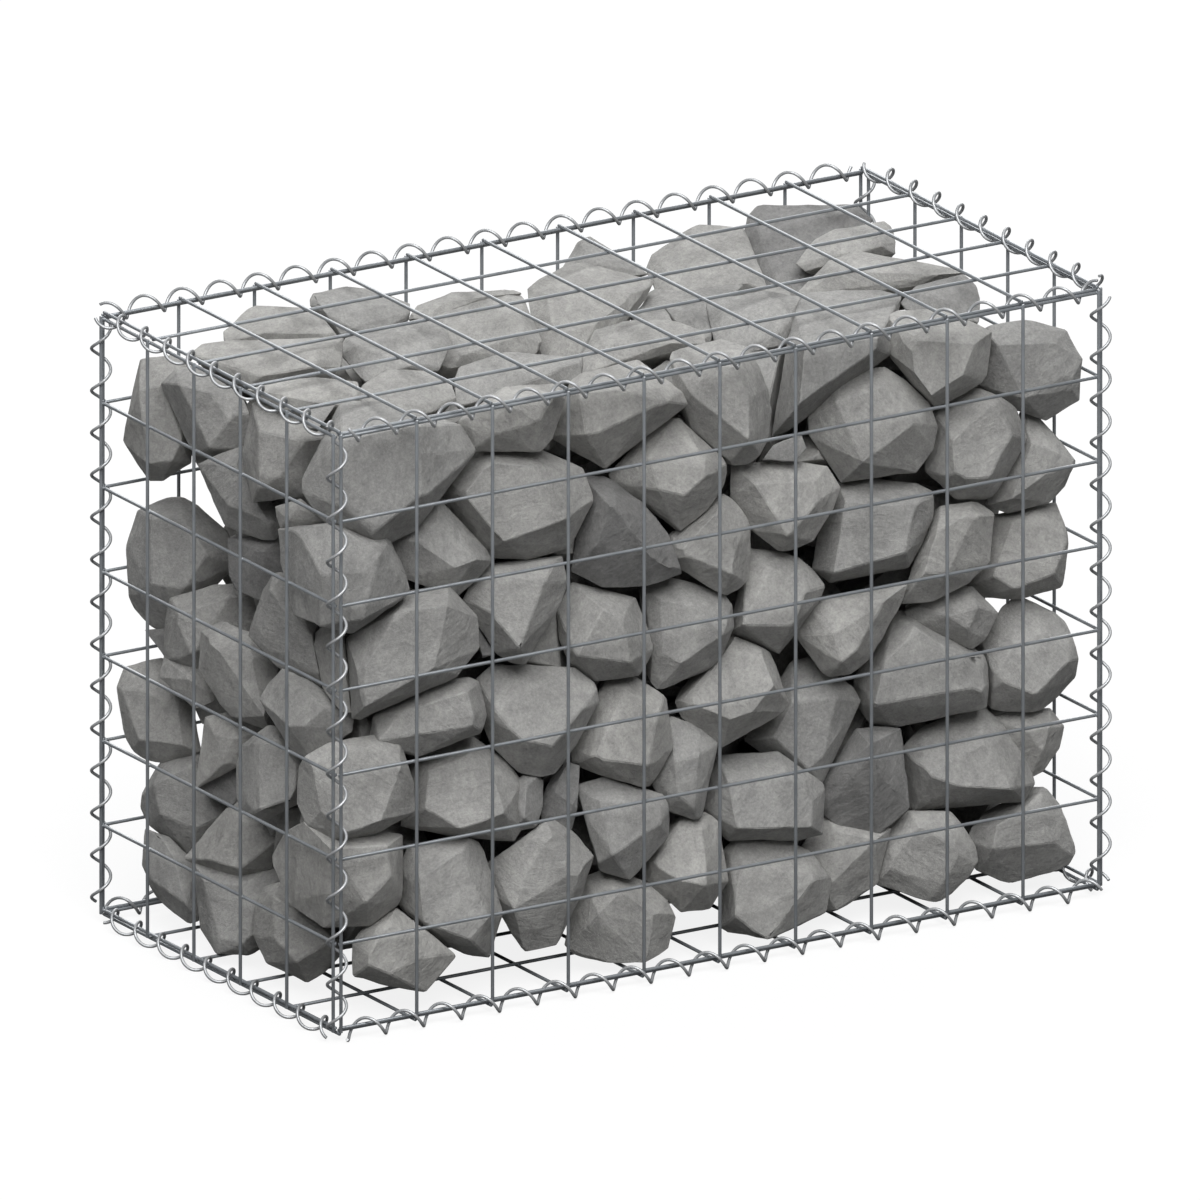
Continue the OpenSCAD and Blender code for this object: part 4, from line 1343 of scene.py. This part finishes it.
    def along(self, line: Sequence[Spot], low: float, high: float) -> list[float]:
        """Heights of a line over a stretch.

        Args:
            line: its corners, from the left.
            low: left end of the stretch.
            high: right end of it.

        Returns:
            Readings up, in centimetres, at both ends and at the corners between them.
        """
        def at(a: float) -> float:
            """Height at one place."""
            a = min(max(a, line[0][0]), line[-1][0])
            for (a1, b1), (a2, b2) in zip(line, line[1:]):
                if a <= a2:
                    break
            return b1 + (b2 - b1) * (a - a1) / (a2 - a1)

        return [at(low), at(high)] + [b for a, b in line if low <= a <= high]

    def out_of_sight(self, block: Block) -> bool:
        """Cut a stone so that it stays behind those that show, and leaves the clear spots and the sky clear.

        Args:
            block: stone to cut.

        Returns:
            Whether enough is left of it.
        """
        half, middle = self.basket.half, self.basket.middle
        for axis, way in enumerate((Vector((-1, 0, 0)), Vector((0, -1, 0)), Vector((0, 0, 1)))):
            if not cut(block, middle + way * (half[axis] - self.set_back[axis]), way):
                return False
        view = -self.sight.back
        for across, way in zip(SIGHT_ENDS, (-self.sight.right, self.sight.right)):
            if not cut(block, self.sight.spot(across, 0, 0), way):
                return False
        readings = [self.sight.reading(p) for p in block.points]
        top = min(self.along(SKYLINE, min(a for a, _ in readings), max(a for a, _ in readings)))
        top -= self.sky_gap_cm
        if top <= min(b for _, b in readings) + self.least_rise_cm:
            return False
        up_way = Vector((1, 0, 0)).cross(view).normalized()
        up_way = up_way if up_way.z > 0 else -up_way
        if not cut(block, self.sight.spot(0, top, 0), up_way):
            return False
        foot = max(self.along(FOOTLINE, min(a for a, _ in readings), max(a for a, _ in readings)))
        if not cut(block, self.sight.spot(0, foot + self.sky_gap_cm, 0), -up_way):
            return False
        for spot in CLEAR_SPOTS:
            points = block.points
            best, least = None, 1e9
            for step in range(self.spot_ways):
                angle = tau * step / self.spot_ways
                edge_way = (self.sight.right * cos(angle) + self.sight.up * sin(angle)).normalized()
                at = self.sight.spot(spot[0], spot[1], 0)
                over = max((p - at).dot(edge_way) for p in points) + self.spot_gap
                if over <= 0:
                    best = None
                    least = 0
                    break
                if over < least:
                    best, least = (at - edge_way * self.spot_gap, edge_way), over
            if best is not None and not cut(block, *best):
                return False
        return True

    def settle(self, block: Block | None, least: float, margin: float = 0.0) -> bool:
        """Fit a stone in among those already placed and keep it.

        Args:
            block: the stone.
            least: least volume of a stone that is kept, in cubic metres.
            margin: distance by which it stays inside the sides.

        Returns:
            Whether the stone was kept.
        """
        if block is None or not self.boxed(block, margin):
            return False
        for fixed in self.blocks:
            if (fixed.centre - block.centre).length < self.near and not part_from(
                    fixed, block, self.gap, self.sight.back):
                return False
        if block.bm.calc_volume() < least or (not block.shown and block.thickness() < self.thinnest):
            block.bm.free()
            return False
        self.blocks.append(block)
        return True

    def chip(self, block: Block) -> None:
        """Break a few corners off a stone."""
        for _ in range(self.rng.randint(*self.chips)):
            corner = self.rng.choice(block.points)
            way = (corner - block.centre).normalized()
            lean = Vector([self.rng.uniform(-self.chip_lean, self.chip_lean) for _ in range(3)])
            way = (way + lean).normalized()
            edge = max(p.dot(way) for p in block.points)
            cut(block, way * (edge - self.rng.uniform(*self.chip_depth)), way)

    def pile(self) -> None:
        """Place every stone, from those that show to the core."""
        for rock in ROCKS:
            self.settle(self.shaped(rock), self.least_shown)
        shown = len(self.blocks)
        half_turn = Matrix.Rotation(pi, 4, "Z")
        for k in range(shown):
            source = self.blocks[k]
            twin = source.bm.copy()
            twin.transform(half_turn)
            twin.normal_update()
            copy = Block(twin, source.tone)
            if self.out_of_sight(copy):
                self.settle(copy, self.least_turned)
        turned = len(self.blocks) - shown
        half = self.basket.half
        reach = self.core_shift
        for counts, least, margin in self.core_passes:
            room = Vector([2 * half[a] / counts[a] for a in range(3)])
            for k in range(counts[2]):
                for j in range(counts[1]):
                    for i in range(counts[0]):
                        shift = Vector([self.rng.uniform(-reach, reach) for _ in range(3)])
                        cell = [n + 0.5 + shift[a] for a, n in enumerate((i, j, k))]
                        spot = Vector([cell[a] * room[a] - half[a] for a in range(3)])
                        block = self.rough(self.basket.middle + spot, room * self.core_share)
                        if block and self.out_of_sight(block):
                            self.settle(block, least, margin)
        for block in self.blocks:
            self.chip(block)
        log.info("stones: %d shown, %d turned, %d core", shown, turned, len(self.blocks) - shown - turned)

    def weathered(self, block: Block, number: int) -> bmesh.types.BMesh:
        """Round a stone's edges, roughen its faces and mark its own grain.

        Args:
            block: the stone.
            number: its number, which turns its grain.

        Returns:
            The finished mesh.
        """
        bm = block.bm.copy()
        bmesh.ops.bevel(
            bm, geom=bm.edges[:], offset=self.bevel, segments=1, profile=0.5, affect="EDGES", material=-1,
            clamp_overlap=True,
        )
        bmesh.ops.triangulate(bm, faces=bm.faces)
        half, middle = self.basket.half, self.basket.middle
        buried = min(half[a] - abs(block.centre[a] - middle[a]) for a in range(3)) > self.buried
        length = self.face_length * (self.buried_coarse if buried else 1.0)
        for _ in range(3):
            long = [e for e in bm.edges if e.calc_length() > length]
            if not long:
                break
            bmesh.ops.subdivide_edges(bm, edges=long, cuts=1)
            bmesh.ops.triangulate(bm, faces=bm.faces)
        bm.normal_update()
        for edge in bm.edges:
            edge.smooth = edge.calc_face_angle(0.0) < self.crease
        rng = random.Random(number)
        shift = Vector([rng.uniform(-9, 9) for _ in range(3)])
        turn = Matrix.Rotation(rng.uniform(0, pi), 3, "X") @ Matrix.Rotation(rng.uniform(0, pi), 3, "Y")
        place = bm.verts.layers.float_vector.new("rock_place")
        tone = bm.verts.layers.float.new("rock_tone_and_shade")
        for v in bm.verts:
            local = turn @ v.co + shift
            layered = Vector((local.x, local.y, local.z * 4))
            wave = noise.noise(local * 38.0) + noise.noise(layered * 30) * 0.8
            wave += noise.noise(local * 120.0) * 0.5
            v[place] = local
            v[tone] = block.tone
            v.co -= v.normal * (self.dent + self.relief * wave)
        for face in bm.faces:
            face.smooth = True
        return bm

    def build(self, stone: bpy.types.Material) -> None:
        """Args:
            stone: material of the stones.
        """
        self.pile()
        height = 2 * self.basket.half.z / self.courses
        floor = self.basket.lift
        for course in range(self.courses):
            joined = bpy.data.meshes.new("course")
            whole = bmesh.new()
            for number, block in enumerate(self.blocks):
                level = min(self.courses - 1, max(0, int((block.centre.z - floor) / height)))
                if level != course:
                    continue
                part = self.weathered(block, number)
                part.to_mesh(joined)
                part.free()
                whole.from_mesh(joined)
            bpy.data.meshes.remove(joined)
            piece = piece_of(whole, f"stone_layer_{course + 1}", [stone])
            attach(piece, "root")
            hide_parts(f"stones_course_{course + 1}")
            log.info("%s: %d faces", piece.name, len(piece.data.polygons))


# ---------------------------------------------------------------------------------------------------------
# Studio


@dataclass
class Studio:
    """Camera, soft light and a white ground."""

    sight: Sight
    distance: float = 3.0
    sun_strength: float = 3.8
    fill_share: float = 0.45
    sun_softness: float = 52.0
    sky_strength: float = 0.22
    floor_size: float = 24.0
    floor_tone: float = 0.86
    bounce_tone: float = 0.12
    floor_glow: float = 0.86

    def camera(self) -> None:
        """Place the parallel camera of the photograph."""
        data = bpy.data.cameras.new("camera")
        data.type = "ORTHO"
        data.ortho_scale = self.sight.width
        data.clip_end = 60.0
        camera = bpy.data.objects.new("camera", data)
        sight = self.sight
        aim = sight.basket.middle - sight.right * sight.aim_left + sight.up * sight.aim_up
        spot = aim + sight.back * self.distance
        axes = Matrix((sight.right, sight.up, sight.back)).transposed().to_4x4()
        camera.matrix_world = Matrix.Translation(spot) @ axes
        bpy.context.scene.collection.objects.link(camera)
        bpy.context.scene.camera = camera

    def lamps(self) -> None:
        """Hang one large soft sun above the camera's side, and a weak one behind the wall."""
        for name, way, strength in (
            ("key", Vector((-0.42, -0.72, 1.20)), self.sun_strength),
            ("fill", Vector((0.45, 0.85, 0.42)), self.sun_strength * self.fill_share),
        ):
            data = bpy.data.lights.new(name, "SUN")
            data.energy = strength
            data.angle = radians(self.sun_softness)
            lamp = bpy.data.objects.new(name, data)
            lamp.matrix_world = way.to_track_quat("Z", "Y").to_matrix().to_4x4()
            bpy.context.scene.collection.objects.link(lamp)

    def world(self) -> None:
        """Light the scene evenly, and show white where nothing stands."""
        world = bpy.data.worlds.new("studio")
        bpy.context.scene.world = world
        world.use_nodes = True
        tree = world.node_tree
        tree.nodes.clear()
        output = tree.nodes.new("ShaderNodeOutputWorld")
        mix = tree.nodes.new("ShaderNodeMixShader")
        path = tree.nodes.new("ShaderNodeLightPath")
        soft = tree.nodes.new("ShaderNodeBackground")
        white = tree.nodes.new("ShaderNodeBackground")
        soft.inputs["Strength"].default_value = self.sky_strength
        soft.inputs["Color"].default_value = (0.97, 0.98, 1.0, 1.0)
        white.inputs["Strength"].default_value = 1.0
        white.inputs["Color"].default_value = (1.0, 1.0, 1.0, 1.0)
        tree.links.new(path.outputs["Is Camera Ray"], mix.inputs["Fac"])
        tree.links.new(soft.outputs[0], mix.inputs[1])
        tree.links.new(white.outputs[0], mix.inputs[2])
        tree.links.new(mix.outputs[0], output.inputs["Surface"])

    def floor(self) -> None:
        """Lay the pale floor, which keeps a soft shadow."""
        bm = bmesh.new()
        bmesh.ops.create_grid(bm, x_segments=1, y_segments=1, size=self.floor_size / 2)
        nodes = Nodes("pale_floor")
        matt = nodes.add("BsdfDiffuse")
        lit = nodes.add("Emission", Strength=1.0)
        path = nodes.add("LightPath")
        bounced, seen = ((tone, tone, tone, 1.0) for tone in (self.bounce_tone, self.floor_tone))
        tint = nodes.mix("MIX", path.outputs["Is Camera Ray"], bounced, seen)
        nodes.join(tint, matt.inputs["Color"])
        share = nodes.add("Math", operation="MULTIPLY")
        share.inputs[1].default_value = self.floor_glow
        mix = nodes.add("MixShader")
        nodes.join(path.outputs["Is Camera Ray"], share.inputs[0])
        nodes.join(share.outputs[0], mix.inputs["Fac"])
        nodes.join(matt.outputs[0], mix.inputs[1])
        nodes.join(lit.outputs[0], mix.inputs[2])
        floor = piece_of(bm, "floor", [nodes.finish(mix)])

    def build(self) -> None:
        """Set up the whole studio."""
        self.camera()
        self.lamps()
        self.world()
        self.floor()


def main() -> None:
    """Build the gabion basket in its studio."""
    logging.basicConfig(level=logging.INFO, format="%(message)s")
    basket = Basket()
    sight = Sight(basket)
    Studio(sight).build()
    log.info("studio ready")
    MeshPanels(basket).build(MESH_ZINC.material())
    SpiralBinders(basket).build(SPIRAL_ZINC.material())
    StoneFill(basket, sight).build(QuarryStone().material())
    bpy.context.scene.view_settings.view_transform = "Standard"


if __name__ == "__main__":
    main()
